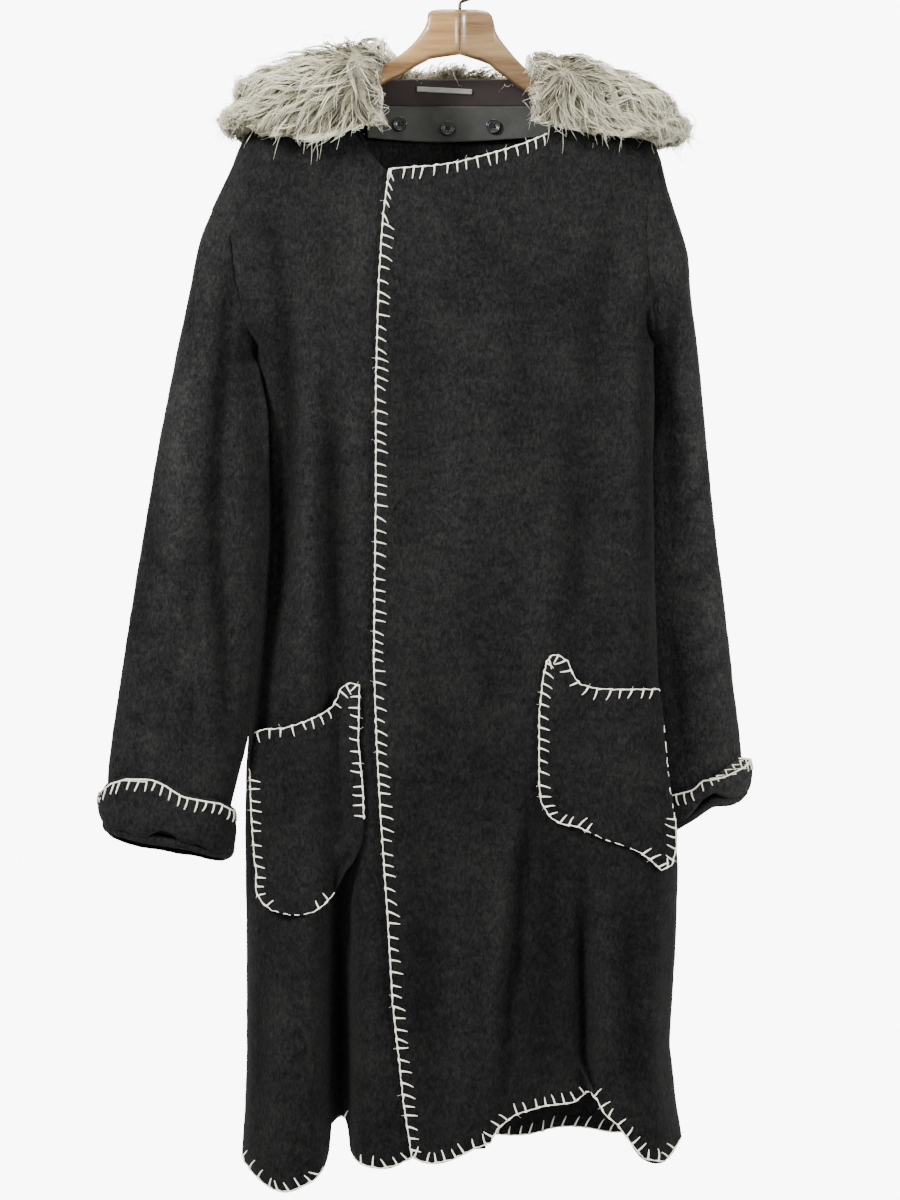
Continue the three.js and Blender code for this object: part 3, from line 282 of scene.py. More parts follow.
def smoothCopy(nodeName, levels, tallRows=None, rimWidth=3 * mm, grow=0.45 * mm, sharpAt=None):
    # the node's own mesh, smoothed: tall rows below a height are halved, rims grow and stay sharp
    bm = bmesh.new()
    bm.from_mesh(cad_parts[nodeName].data)
    bmesh.ops.remove_doubles(bm, verts=bm.verts, dist=0.01 * mm)
    bmesh.ops.join_triangles(bm, faces=bm.faces, angle_face_threshold=1.0, angle_shape_threshold=3.1)
    if tallRows:
        tall = [e for e in bm.edges if max(v.co.z for v in e.verts) < tallRows
                and abs(e.verts[0].co.z - e.verts[1].co.z) > 38 * mm]
        bmesh.ops.subdivide_edges(bm, edges=tall, cuts=1, use_grid_fill=True)
    rim = {f for f in bm.faces if min(e.calc_length() for e in f.edges) < rimWidth} if grow else set()
    sharp = bm.edges.layers.float.new("crease_edge")
    for edge in bm.edges:
        if len(edge.link_faces) == 2:
            rims = sum(f in rim for f in edge.link_faces)
            bend = edge.calc_face_angle(0)
            if (rims == 1 and bend > 0.7) or (rims == 2 and bend > 0.8):
                edge[sharp] = 1
        if sharpAt and all(sharpAt(v.co) for v in edge.verts):
            edge[sharp] = 1
    outwards = {}
    for face in rim:
        for vert in face.verts:
            outwards[vert] = outwards.get(vert, Vector()) + face.normal
    for vert, way in outwards.items():
        vert.co += way.normalized() * grow
    mesh = bpy.data.meshes.new(nodeName + "Work")
    bm.to_mesh(mesh)
    bm.free()
    for spare in [a for a in mesh.attributes if a.name == "custom_normal"]:
        mesh.attributes.remove(spare)
    work = added(nodeName + "Work", mesh)
    smooth = work.modifiers.new("smooth", "SUBSURF")
    smooth.levels = smooth.render_levels = levels
    wanted = pointsOf(mesh)
    held = wanted.copy()
    for _ in range(3):  # the smooth surface is brought back through the frame's own points
        bpy.context.view_layer.update()
        shown = work.evaluated_get(bpy.context.evaluated_depsgraph_get()).to_mesh()
        held += wanted - pointsOf(shown)[:len(wanted)]
        setPoints(mesh, held)
        work.update_tag()
    return settled(work, nodeName)


def pointsOf(mesh):
    points = np.empty(len(mesh.vertices) * 3)
    mesh.vertices.foreach_get("co", points)
    return points.reshape(-1, 3)


def normalsOf(mesh):
    normals = np.empty(len(mesh.vertices) * 3)
    mesh.vertex_normals.foreach_get("vector", normals)
    return normals.reshape(-1, 3)


def setPoints(mesh, points):
    mesh.vertices.foreach_set("co", np.ascontiguousarray(points).ravel())
    mesh.update()


def treeOf(mesh):
    points = [v.co.copy() for v in mesh.vertices]
    return BVHTree.FromPolygons(points, [list(p.vertices) for p in mesh.polygons])


# Creases in millimetres: half width, depth (below nothing stands out), then the x and z of a line seen from
# the front or the back. Their ends are soft.
frontCreases = [
    (10, 7, (-190, -300), (-182, -398), (-178, -488), (-182, -593), (-188, -674), (-198, -728)),
    (14, -5, (-158, -380), (-160, -480), (-162, -600), (-160, -720), (-166, -800)),
    (10, 7, (-138, -420), (-134, -560), (-132, -680), (-126, -770)),
    (9, -2.6, (-112, -400), (-110, -560), (-106, -720)),
    (9, 7, (-128, -960), (-128, -1080), (-127, -1215)),
    (9, 3.4, (-206, -1020), (-209, -1120), (-212, -1260)),
    (13, -3, (-184, -1030), (-186, -1120), (-188, -1270)),
    (9, -3, (-160, -860), (-158, -1000), (-152, -1240)),
    (9, -2.6, (-94, -1010), (-90, -1100), (-86, -1240)),
    (8, 8, (78, -850), (64, -960), (58, -1045), (50, -1090), (44, -1190)),
    (11, -4, (58, -880), (46, -960), (38, -1050), (28, -1200)),
    (14, 4, (96, -860), (92, -960), (90, -1060), (88, -1190)),
    (7, 6, (127, -960), (127, -1059), (132, -1181)),
    (10, -5, (146, -960), (148, -1060), (152, -1190)),
    (9, 4.4, (172, -980), (178, -1080), (186, -1210)),
    (10, -3.4, (200, -990), (203, -1090), (207, -1240)),
    (15, 3.2, (-44, -900), (-38, -1050), (-28, -1240)),
    (14, -3, (-4, -960), (-2, -1100), (4, -1230)),
    (12, 2.6, (-150, -230), (-140, -300), (-134, -380)),
    (9, 3, (-214, -262), (-196, -300), (-186, -350)),
    (10, -2, (-120, -225), (-104, -290), (-98, -350)),
    (15, 3.6, (168, -240), (150, -320), (136, -420), (140, -520)),
    (9, -3.6, (186, -280), (182, -400), (178, -540), (182, -690)),
    (6, 3, (196, -330), (196, -440), (192, -560), (196, -720)),
    (20, 2.4, (60, -300), (66, -420), (58, -560)),
    (15, 3.8, (112, -470), (124, -580), (118, -710)),
    (13, -3, (92, -600), (84, -680), (70, -780)),
    (20, 2.4, (-60, -330), (-52, -470), (-58, -640)),
    (18, -2.2, (-20, -420), (-6, -540), (-12, -700)),
    (15, 2.6, (14, -640), (28, -740), (40, -850)),
    (14, 2.2, (-40, -700), (-30, -800), (-34, -900)),
    (12, 1.6, (-6, -250), (20, -300), (60, -330)),
]
backCreases = [
    (11, 6, (-196, -300), (-180, -400), (-172, -500), (-176, -620), (-184, -760)),
    (12, -4, (-150, -380), (-144, -520), (-150, -700), (-146, -860)),
    (12, 5, (-108, -400), (-100, -560), (-106, -760), (-100, -930)),
    (13, -4, (-62, -560), (-66, -760), (-72, -980)),
    (10, 5, (-198, -900), (-202, -1050), (-206, -1240)),
    (10, -3.6, (-170, -940), (-174, -1080), (-178, -1240)),
    (10, 5, (-124, -960), (-116, -1100), (-118, -1230)),
    (9, -3, (-84, -1000), (-88, -1100), (-86, -1240)),
    (11, -4, (-24, -860), (-28, -1050), (-26, -1240)),
    (12, 4, (30, -470), (36, -660), (44, -860)),
    (13, 5, (108, -360), (118, -500), (112, -640), (118, -760)),
    (10, -3.4, (140, -420), (146, -560), (140, -720)),
    (10, 6, (118, -880), (126, -1050), (120, -1230)),
    (11, 5, (166, -310), (158, -430), (164, -580)),
    (10, -4, (150, -900), (156, -1060), (152, -1230)),
    (10, 4.4, (196, -880), (200, -1050), (204, -1230)),
    (11, 5, (42, -960), (46, -1100), (44, -1230)),
    (13, 3, (-130, -220), (-112, -300), (-86, -380)),
    (13, 3, (126, -230), (104, -310), (78, -390)),
    (12, 1.8, (-60, -240), (-30, -290), (0, -310)),
]
sleeveLeftCreases = [
    (8, 9, (-240, -300), (-243, -360), (-249, -440), (-255, -530), (-257, -620), (-250, -690),
     (-244, -790), (-248, -860)),
    (8, -3, (-226, -420), (-228, -520), (-232, -620)),
    (14, -4, (-282, -380), (-290, -470), (-298, -580), (-300, -700)),
    (10, 3.4, (-318, -520), (-326, -620), (-338, -740)),
    (8, 3, (-332, -610), (-312, -642), (-290, -656)),
    (7, 2.8, (-344, -700), (-322, -716), (-300, -718)),
    (8, 3.4, (-272, -600), (-284, -660), (-282, -720)),
    (7, 2.6, (-356, -790), (-330, -806), (-300, -808)),
    (8, 3, (-276, -330), (-284, -390), (-280, -450)),
    (8, 3.4, (-284, -750), (-280, -800), (-286, -860)),
    (8, -2.4, (-318, -780), (-322, -830), (-326, -870)),
]
sleeveRightCreases = [
    (8, 5, (222, -330), (226, -410), (222, -500), (226, -620)),
    (8, 3.4, (268, -520), (254, -566), (230, -590)),
    (7, 3.2, (276, -630), (256, -652), (226, -660)),
    (6, -2.2, (272, -690), (250, -716), (226, -724)),
    (7, 3, (286, -740), (262, -758), (232, -760)),
    (10, -3.4, (244, -400), (250, -500), (254, -620)),
    (8, 4.6, (222, -690), (232, -780), (240, -860)),
    (8, 2.6, (262, -780), (270, -820), (280, -850)),
]


def creaseDepth(creases, x, z):
    total = np.zeros(len(x))
    for half, deep, *line in creases:
        line = np.array(line, float)
        steps = np.hypot(*np.diff(line, axis=0).T)
        start, whole = 0.0, steps.sum()
        nearest = np.full(len(x), 1e9)
        share = np.zeros(len(x))
        for (ax, az), (bx, bz), step in zip(line[:-1], line[1:], steps):
            t = np.clip(((x - ax) * (bx - ax) + (z - az) * (bz - az)) / step ** 2, 0, 1)
            away = np.hypot(x - ax - t * (bx - ax), z - az - t * (bz - az))
            closer = away < nearest
            nearest = np.where(closer, away, nearest)
            share = np.where(closer, (start + t * step) / whole, share)
            start += step
        ends = np.sin(np.pi * np.clip(share, 0.02, 0.98)) ** 0.7
        total += deep * ends * np.exp(-((nearest / half) ** 2))
    return total


foldFull = 6.5 * mm  # depth at which a crease's painted shade is at its darkest
napLift = {"size": 14 * mm, "high": 0.45 * mm, "fineSize": 6 * mm, "fineHigh": 0.2 * mm, "lumpSize": 30 * mm}


def dressCloth(mesh, side, creases, middle=None, lumps=0.0):
    points = pointsOf(mesh)
    depth = creaseDepth(creases, points[:, 0] / mm, points[:, 2] / mm) * mm
    seen = depth
    if middle is None:
        points[:, 1] += depth if side == "front" else -depth
    else:  # a tube: its front and back bend apart, and its edges stay
        facing = np.clip((middle(points[:, 2]) - points[:, 1]) / (16 * mm), -1, 1)
        points[:, 1] += depth * facing
        seen = depth * np.abs(facing)
    # the crease depth, kept for the wool's painted shade in valleys and painted highlight on ridges
    fold = mesh.attributes.new("fold", "FLOAT", "POINT")
    fold.data.foreach_set("value", np.clip(seen / foldFull, -1, 1).astype(np.float32))
    setPoints(mesh, points)
    normals = normalsOf(mesh)
    lift = np.array([
        noise.noise(Vector(p) / napLift["size"]) * napLift["high"]
        + noise.noise(Vector(p) / napLift["lumpSize"]) * lumps
        + noise.noise(Vector(p) / napLift["fineSize"]) * napLift["fineHigh"] for p in points])
    setPoints(mesh, points + normals * lift[:, None])


def eased(value):
    value = np.clip(value, 0, 1)
    return value * value * (3 - 2 * value)


lapLook = {  # how a sleeve's inner edge is laid flat over or under the coat's side, by height in millimetres
    "reach": 28, "settle": 0.84, "sideReach": 30,
    "left": {"edge": [(-400, -221), (-424, -220), (-462, -214), (-526, -206), (-588, -201), (-654, -203)],
             "share": [(-411, 0), (-424, 1), (-520, 1), (-600, 0)],
             "plane": [(-411, -14), (-440, -31), (-500, -36), (-600, -40)],
             "move": [(-411, 0), (-432, 7), (-478, 9.5), (-526, 6), (-600, 0)],
             "side": -217, "wider": [(-408, 0), (-420, 7), (-500, 5), (-600, 0)]},
    "right": {"edge": [(-390, 207), (-406, 207), (-446, 204), (-500, 193), (-572, 182), (-660, 180)],
              "share": [(-394, 0), (-406, 1), (-470, 1), (-540, 0)],
              "plane": [(-394, 10), (-430, 26), (-480, 36), (-540, 42)],
              "move": [(-394, 0), (-412, 7), (-450, 9), (-540, 0)],
              "side": 205, "wider": [(-390, 0), (-404, 5), (-460, 4), (-540, 0)]},
}


def byHeight(table, z):
    heights, values = zip(*reversed(table))
    return np.interp(z, heights, values)


def lapSleeve(mesh, hand):
    # below the armhole the sleeve's inner edge lies flat against the coat's side
    look = lapLook[hand]
    inwards = 1 if hand == "left" else -1
    points = pointsOf(mesh)
    x, y, z = (points / mm).T
    near = eased(1 - (byHeight(look["edge"], z) - x) * inwards / lapLook["reach"])
    near = near * byHeight(look["share"], z)
    points[:, 0] += near * byHeight(look["move"], z) * inwards * mm
    points[:, 1] += near * (byHeight(look["plane"], z) - y) * lapLook["settle"] * mm
    setPoints(mesh, points)


def widenSide(mesh, hand):  # the coat's side reaches past that edge
    look = lapLook[hand]
    outwards = -1 if hand == "left" else 1
    points = pointsOf(mesh)
    x, _, z = (points / mm).T
    near = eased(1 - (look["side"] - x) * outwards / lapLook["sideReach"])
    points[:, 0] += near * byHeight(look["wider"], z) * outwards * mm
    setPoints(mesh, points)


clothCuts = {  # flat width, length and area of each piece in metres, before it was sewn
    "front_under": ((0.33, 1.14), 0.31), "front_over": ((0.36, 1.08), 0.33),
    "back_left": ((0.28, 1.12), 0.27), "back_right": ((0.27, 1.11), 0.26),
    "sleeve_left": ((0.3, 0.64), 0.171), "sleeve_right": ((0.26, 0.66), 0.134),
    "cuff_left": ((0.36, 0.065), 0.021), "cuff_right": ((0.32, 0.05), 0.0135),
    "pocket_left": ((0.135, 0.24), 0.028), "pocket_right": ((0.15, 0.2), 0.025),
}
clothMeshes = {}
tallRows = -0.38  # height below which the nodes' rows are far apart
for name in ("front_under", "front_over", "back_left", "back_right"):
    clothMeshes[name] = smoothCopy(name, 2, tallRows, grow=0.8 * mm)
    side = name.split("_")[0]
    widenSide(clothMeshes[name], "left" if name.endswith(("under", "left")) else "right")
    dressCloth(clothMeshes[name], side, frontCreases if side == "front" else backCreases)


cuffMouth = {"high": 16, "deep": 30, "front": 9, "back": 3}  # how far up and round, and how much it is lifted


def openCuff(mesh, middle, end):
    # the fold's front edge is caught up a little, so the cuff's mouth shows below it
    points = pointsOf(mesh)
    x, y, z = (points / mm).T
    low = eased((np.interp(x, *zip(*end)) + cuffMouth["high"] - z) / cuffMouth["high"])
    front = np.clip((middle - y) / cuffMouth["deep"], -1, 1)
    uneven = 1 + 0.5 * np.sin(x / 13) + 0.3 * np.sin(x / 6.1 + 2)
    lift = np.where(front > 0, cuffMouth["front"] * front * uneven, cuffMouth["back"] * front)
    points[:, 2] += low * lift * mm
    setPoints(mesh, points)


cuffEnds = {  # x and z of the lower fold
    "cuff_left": [(-377, -908), (-368, -919), (-325, -928), (-281, -935), (-259, -942), (-238, -946)],
    "cuff_right": [(196, -938), (228, -925), (245, -914), (259, -904), (272, -896), (298, -893), (312, -884)],
}
for name in ("pocket_left", "pocket_right"):
    clothMeshes[name] = smoothCopy(name, 2)
    dressCloth(clothMeshes[name], "front", frontCreases)
tubes = {  # creases, and the middle plane by height
    "sleeve_left": (sleeveLeftCreases, lambda z: np.interp(
        -z, [0.3, 0.36, 0.45, 0.53, 0.65, 0.9], [-0.003, -0.012, -0.024, -0.031, -0.038, -0.043])),
    "sleeve_right": (sleeveRightCreases, lambda z: np.interp(
        -z, [0.3, 0.36, 0.43, 0.52, 0.65, 0.9], [0.006, 0.018, 0.032, 0.04, 0.043, 0.048])),
    "cuff_left": ([], lambda z: z * 0 - 0.043), "cuff_right": ([], lambda z: z * 0 + 0.048),
}
for name, (creases, middle) in tubes.items():
    isCuff = name in cuffEnds
    clothMeshes[name] = smoothCopy(name, 2, None if isCuff else tallRows)
    if isCuff:
        openCuff(clothMeshes[name], middle(0) / mm, cuffEnds[name])
    else:
        lapSleeve(clothMeshes[name], name.split("_")[1])
    dressCloth(clothMeshes[name], "tube", creases, middle, lumps=2.2 * mm if isCuff else 0)
for name, (flat, area) in clothCuts.items():
    piece = addPiece(name + "Cloth", clothMeshes[name], wool, "wool", name)
print("cloth dressed")


def softStrip(nodeName, wave, high, wider=1.0):
    mesh = smoothCopy(nodeName, 3, rimWidth=2 * mm, grow=0.2 * mm)
    points = pointsOf(mesh)
    points[:, 0] *= wider  # its ends are held under the fur
    points[:, 1] += high * np.sin(points[:, 0] / wave + points[:, 2] / (wave * 1.7)) * 0.5
    setPoints(mesh, points)
    return mesh


band = addPiece("neckBand", softStrip("neck_band", 12 * mm, 0.7 * mm, 1.24), bandCloth, "band", "neck_band")
liningMesh = softStrip("collar_lining", 15 * mm, 0.7 * mm, 1.3)
lining = addPiece("collarLining", liningMesh, liningCloth, "lining", "collar_lining")
labelMesh = softStrip("label", 15 * mm, 0.5 * mm)
labelPoints = pointsOf(labelMesh)
labelPoints[:, 2] -= (labelPoints[:, 0] - labelPoints[:, 0].mean()) * 0.05  # it hangs down to one side
setPoints(labelMesh, labelPoints)
label = addPiece("bareLabel", labelMesh, labelTape, "label", "label")


for side, wood in (("left", woodLeft), ("right", woodRight)):
    mesh = smoothCopy("hanger_" + side, 2, grow=0, sharpAt=lambda place: abs(place.x) < 0.5 * mm)
    points = pointsOf(mesh)
    flush = np.abs(points[:, 0]) < 0.6 * mm  # the halves are glued, with a hair line between them
    points[:, 0] = np.where(flush, math.copysign(0.04 * mm, points[:, 0].mean()), points[:, 0])
    setPoints(mesh, points)
    addPiece("hanger" + side.capitalize(), mesh, wood, "wood", "hanger_" + side)
addPiece("hangerHook", smoothCopy("hook", 1, grow=0), bronze, "metal", "hook")

buttonLook = {"steps": 48, "hole": 0.95 * mm, "reach": 2.1 * mm, "thread": 0.3 * mm,
              "profile": [(0, 0.0), (6.4, 0.0), (7.4, 0.5), (7.7, 1.2), (7.7, 2.2), (7.3, 2.85), (6.9, 3.0),
                          (6.4, 2.8), (6.1, 2.3), (5.7, 2.15), (5.3, 2.35), (5.0, 2.45), (4.6, 2.3),
                          (4.2, 1.9), (3.4, 1.75), (0, 1.75)]}


def buttonMesh(name, low, high):
    bm = bmesh.new()
    ring = [bm.verts.new((across * mm, 0, up * mm)) for across, up in buttonLook["profile"]]
    edges = [bm.edges.new(pair) for pair in zip(ring[:-1], ring[1:])]
    bmesh.ops.spin(bm, geom=ring + edges, cent=(0, 0, 0), axis=(0, 0, 1), angle=2 * math.pi,
                   steps=buttonLook["steps"], use_merge=True)
    bmesh.ops.remove_doubles(bm, verts=bm.verts, dist=0.002 * mm)
    bmesh.ops.recalc_face_normals(bm, faces=bm.faces)
    mesh = bpy.data.meshes.new(name)
    bm.to_mesh(mesh)
    bm.clear()
    for k in range(4):
        angle = math.pi / 4 + k * math.pi / 2
        made = bmesh.ops.create_cone(bm, cap_ends=True, segments=16, radius1=buttonLook["hole"],
                                     radius2=buttonLook["hole"], depth=12 * mm)
        bmesh.ops.translate(bm, verts=made["verts"], vec=(
            math.cos(angle) * buttonLook["reach"], math.sin(angle) * buttonLook["reach"], 0))
    drillMesh = bpy.data.meshes.new(name + "Drill")
    bm.to_mesh(drillMesh)
    bm.free()
    disc, drill = added(name, mesh), added(name + "Drill", drillMesh)
    cut = disc.modifiers.new("holes", "BOOLEAN")
    cut.object = drill
    cut.solver = "EXACT"
    done = settled(disc, name)
    bpy.data.objects.remove(drill)
    centre = (low + high) / 2
    points = pointsOf(done)  # turned to face the front, with its back where the node's back is
    setPoints(done, np.stack([points[:, 0] + centre.x, high.y - points[:, 2], points[:, 1] + centre.z], 1))
    return done, centre


def threadTube(name, lines, radius, resolution=2):
    curve = bpy.data.curves.new(name, "CURVE")
    curve.dimensions = "3D"
    curve.bevel_depth = radius
    curve.bevel_resolution = resolution
    curve.use_fill_caps = True
    curve.resolution_u = 2
    for line in lines:
        spline = curve.splines.new("POLY")
        spline.points.add(len(line) - 1)
        for point, (place, thick) in zip(spline.points, line):
            point.co = (*place, 1)
            point.radius = thick
    return settled(added(name, curve), name)


for k in (1, 2, 3):
    low, high = (Vector(c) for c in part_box(f"button_{k}"))
    mesh, centre = buttonMesh(f"button{k}", low, high)
    addPiece(f"button{k}", mesh, darkButton, "button", f"button_{k}")
    reach = buttonLook["reach"] * 0.72
    lines = []
    for turn in (1, -1):
        for aside in (-0.35 * mm, 0.35 * mm):
            lines.append([((centre.x + reach * way + aside, high.y - rise * mm,
                            centre.z + (reach * way - aside) * turn), 1)
                          for way, rise in ((-1, 0.2), (-0.76, 0.2), (0, 2.4), (0.76, 0.2), (1, 0.2))])
    mesh = threadTube(f"buttonThread{k}", lines, buttonLook["thread"])
    addPiece(f"buttonThread{k}", mesh, darkThread, "button")
print("hanger and buttons made")


# pitch, leg, step and wobble are in millimetres
stitchLook = {"yarn": 0.84 * mm, "pitch": 11.6, "leg": 11.5, "lift": 0.75 * mm, "step": 2.4,
              "wobble": 0.9, "looseHairs": 0.4, "hair": 2.2 * mm}
trees = {name: treeOf(mesh) for name, mesh in clothMeshes.items()}


def onCloth(treeName, side, x, z, guess):
    # the outermost point of a piece at x, z, or the nearest one beside its edge
    start, way = (-0.4, 1) if side == "front" else (0.4, -1)
    place, normal, _, _ = trees[treeName].ray_cast(Vector((x * mm, start, z * mm)), Vector((0, way, 0)))
    if place is None:
        depth = guess if guess is not None else start * 0.15
        place, normal, _, _ = trees[treeName].find_nearest(Vector((x * mm, depth, z * mm)))
    if normal.y * way > 0:
        normal = -normal
    return place, normal


def evenly(path, step):
    path = np.array(path, float)
    lengths = np.concatenate([[0], np.cumsum(np.hypot(*np.diff(path, axis=0).T))])
    count = max(int(round(lengths[-1] / step)), 2)
    wanted = np.linspace(0, lengths[-1], count + 1)
    return np.stack([np.interp(wanted, lengths, path[:, k]) for k in (0, 1)], 1)


def sideways(across):  # a direction seen from the front, in space
    return Vector((across[0], 0, across[1]))


def blanketStitch(name, treeName, side, path, turn, lean=0.3, gaps=(), short=1.0, tight=0.0, plain=()):
    # turn is 1 where the legs lie to the left of the path's direction seen from the front;
    # gaps are shares of the path where the yarn is lost in the pile, plain ones where only thin
    # dashes of it show, and up to the share tight the legs are short and lie along the edge
    points = evenly(path, stitchLook["step"])
    total = len(points) - 1
    guess = None
    edge, inward = [], []
    for i, (x, z) in enumerate(points):
        before, after = points[max(i - 2, 0)], points[min(i + 2, total)]
        dx, dz = (after - before) / max(np.hypot(*(after - before)), 1e-6)
        across = np.array([-dz, dx]) * turn
        inward.append(across)
        place, normal = onCloth(treeName, side, x + across[0], z + across[1], guess)
        guess = place.y
        wobble = Vector((noise.noise(Vector((i * 0.5, 1, 0))), 0, noise.noise(Vector((i * 0.5, 9, 0)))))
        wobble = wobble * stitchLook["wobble"] * mm
        edge.append((place + normal * stitchLook["lift"] * 0.6 + wobble - sideways(across) * mm, normal))
    stride = stitchLook["pitch"] / stitchLook["step"]
    knots = []
    at = stride * 0.4
    while at < total:
        knots.append(at)
        at += stride * draw.uniform(0.8, 1.2)
    lost, thin = ([any(low <= i / total <= high for low, high in spans) for i in range(total + 1)]
                  for spans in (gaps, plain))
    lines, run = [], []
    for i, (place, normal) in enumerate(edge):
        near = min((abs(i - knot) for knot in knots), default=9)
        swell = 0.66 + 0.75 * math.exp(-(near / 0.8) ** 2) + 0.3 * noise.noise(Vector((i * 0.9, 4, 0)))
        if lost[i] or (thin[i] and noise.noise(Vector((i * 0.55, 7, 3))) > 0.12):
            lines.append(run)
            run = []
        else:
            run.append((tuple(place), swell * (0.55 if thin[i] else 1)))
    lines = [run for run in [*lines, run] if len(run) > 2]
    for i in (int(knot) for knot in knots):
        if lost[i] or thin[i]:
            continue
        x, z = points[i]
        across = inward[i]
        along = np.array([across[1], -across[0]])
        close = i / total < tight
        slant = along * ((1.3 if close else lean) + draw.uniform(-0.18, 0.18))
        bend = along * draw.uniform(-0.08, 0.12)
        length = stitchLook["leg"] * (0.55 if close else short) * draw.uniform(0.82, 1.15)
        start, normal = edge[i]
        leg = [(tuple(start), 1.2)]
        guess = start.y
        for share in (0.1, 0.26, 0.44, 0.62, 0.8, 0.92, 1.0):
            way = across + slant * (0.65 + 0.35 * share) + bend * share ** 2
            place, upwards = onCloth(
                treeName, side, x + way[0] * length * share, z + way[1] * length * share, guess)
            guess = place.y
            up = stitchLook["lift"] * (0.5 + 0.8 * math.sin(math.pi * min(share * 1.05, 1)))
            up -= 1.2 * mm if share == 1 else 0  # its end sinks into the pile
            leg.append((tuple(place + upwards * up), 1.16 - 0.66 * share ** 2))
        lines.append(leg)
        if draw.uniform() < stitchLook["looseHairs"]:  # a loose hair of yarn at the knot
            drift = Vector((draw.uniform(-1, 1), 0, draw.uniform(-1, 1)))
            lines.append([
                (tuple(start + (drift * share ** 2 + normal * 0.5 * share - sideways(across) * 1.5 * share)
                       * stitchLook["hair"]), 0.2 - 0.1 * share) for share in (0, 0.5, 1)])
    return addPiece(name, threadTube(name, lines, stitchLook["yarn"]), ivoryYarn, "wool")


# edges to stitch, as x and z in millimetres
frontEdge = [
    (-74.5, -225), (-81, -278), (-85, -340), (-88, -447), (-88, -570), (-90, -740), (-87, -824), (-83, -895),
    (-75.5, -1001), (-70, -1094), (-58, -1202), (-50, -1253)]
neckOver = [
    (-74.5, -225), (-52, -223), (-28, -221.5), (-4, -218), (24, -211), (48, -204), (66, -198), (83, -191),
    (92, -187)]
hemUnder = [
    (-230, -1262), (-226, -1268), (-216, -1276), (-204, -1284), (-190, -1289), (-175, -1288), (-161, -1282),
    (-149, -1276), (-139, -1262), (-135, -1228), (-126, -1221), (-119, -1228), (-115, -1254), (-103, -1262),
    (-82, -1266), (-66, -1263), (-50, -1255)]
hemOver = [
    (-50, -1253), (-40, -1258), (-28, -1260), (-8, -1256), (16, -1244), (31, -1239), (38, -1225), (57, -1213),
    (88, -1205), (120, -1202), (133, -1192), (142, -1196), (150, -1211), (164, -1222), (177, -1240),
    (190, -1256), (213, -1262), (234, -1246)]
hemBackLeft = [
    (-230, -1262), (-206, -1262), (-182, -1256), (-160, -1246), (-138, -1238), (-120, -1236), (-102, -1240),
    (-84, -1246), (-66, -1250), (-50, -1252), (-24, -1256), (-1, -1257)]
hemBackRight = [
    (1, -1257), (20, -1258), (40, -1258), (60, -1256), (80, -1253), (100, -1250), (122, -1250), (144, -1252),
    (166, -1254), (188, -1254), (208, -1252), (224, -1249), (234, -1246)]
pocketLeftEdge = [
    (-215, -816), (-203, -812), (-184, -811), (-165, -805), (-148, -798), (-135, -790), (-128, -779),
    (-124, -769), (-115, -763.5), (-105, -766), (-106, -825), (-101, -876), (-100, -905), (-106, -935),
    (-120, -960), (-131, -982), (-141, -993), (-151, -1000), (-162, -1003), (-174, -1004), (-185, -1002),
    (-196, -999), (-205, -993), (-212, -983), (-218, -905), (-221, -847), (-215, -816)]
pocketRightEdge = [
    (90, -740), (96, -734), (104, -735), (112, -741), (117, -754), (124, -764), (140, -769), (160, -770),
    (184, -770), (208, -770), (212, -805), (218, -874), (224, -908), (225, -934), (220, -952), (208, -957),
    (196, -945), (182, -936), (166, -930), (150, -925), (137, -919), (122, -912), (106, -909.5), (94, -903),
    (84, -887), (82, -870), (82, -795), (86, -758), (90, -740)]
blanketStitch("stitchFront", "front_over", "front", frontEdge, 1, lean=0.34, tight=0.055)
blanketStitch("stitchNeck", "front_over", "front", neckOver, -1, lean=0.2)
blanketStitch("stitchHemUnder", "front_under", "front", hemUnder, 1, lean=-0.3, short=0.9,
              gaps=((0.4, 0.578), (0.618, 0.745)))
blanketStitch("stitchHemOver", "front_over", "front", hemOver, 1, lean=-0.12, short=0.95)
for place, side, lean in (("Back", "back", 0.2), ("Inside", "front", 0.4)):
    blanketStitch(f"stitchHem{place}Left", "back_left", side, hemBackLeft, 1, lean)
    blanketStitch(f"stitchHem{place}Right", "back_right", side, hemBackRight, 1, lean)
blanketStitch("stitchPocketLeft", "pocket_left", "front", pocketLeftEdge, -1, lean=0.1,
              gaps=((0.436, 0.57), (0.94, 1.0)), plain=((0.62, 0.69),), short=0.88)
blanketStitch("stitchPocketRight", "pocket_right", "front", pocketRightEdge, -1, lean=0.3,
              gaps=((0.222, 0.25), (0.395, 0.405)), plain=((0.25, 0.42), (0.575, 0.67)), short=0.92)

cuffLook = {
    "steps": 150,
    "left": {"x": -307.5, "y": -43, "halfX": 71, "halfY": 40, "dip": 5, "slant": -0.055, "hang": 8,
             "top": [(-379, -880), (-368, -868), (-356, -863), (-330, -863), (-301, -870), (-277, -881),
                     (-259, -885), (-245, -889), (-236, -899)]},
    "right": {"x": 254.5, "y": 48, "halfX": 60, "halfY": 40, "dip": 3, "slant": 0.05, "hang": 4,
              "top": [(195, -897), (221, -886), (245, -880), (257, -873), (271, -866), (286, -856),
                      (300, -846), (314, -849)]},
}


def squared(value):  # a cuff's section is a little squarer than an ellipse
    return math.copysign(abs(value) ** 0.87, value)


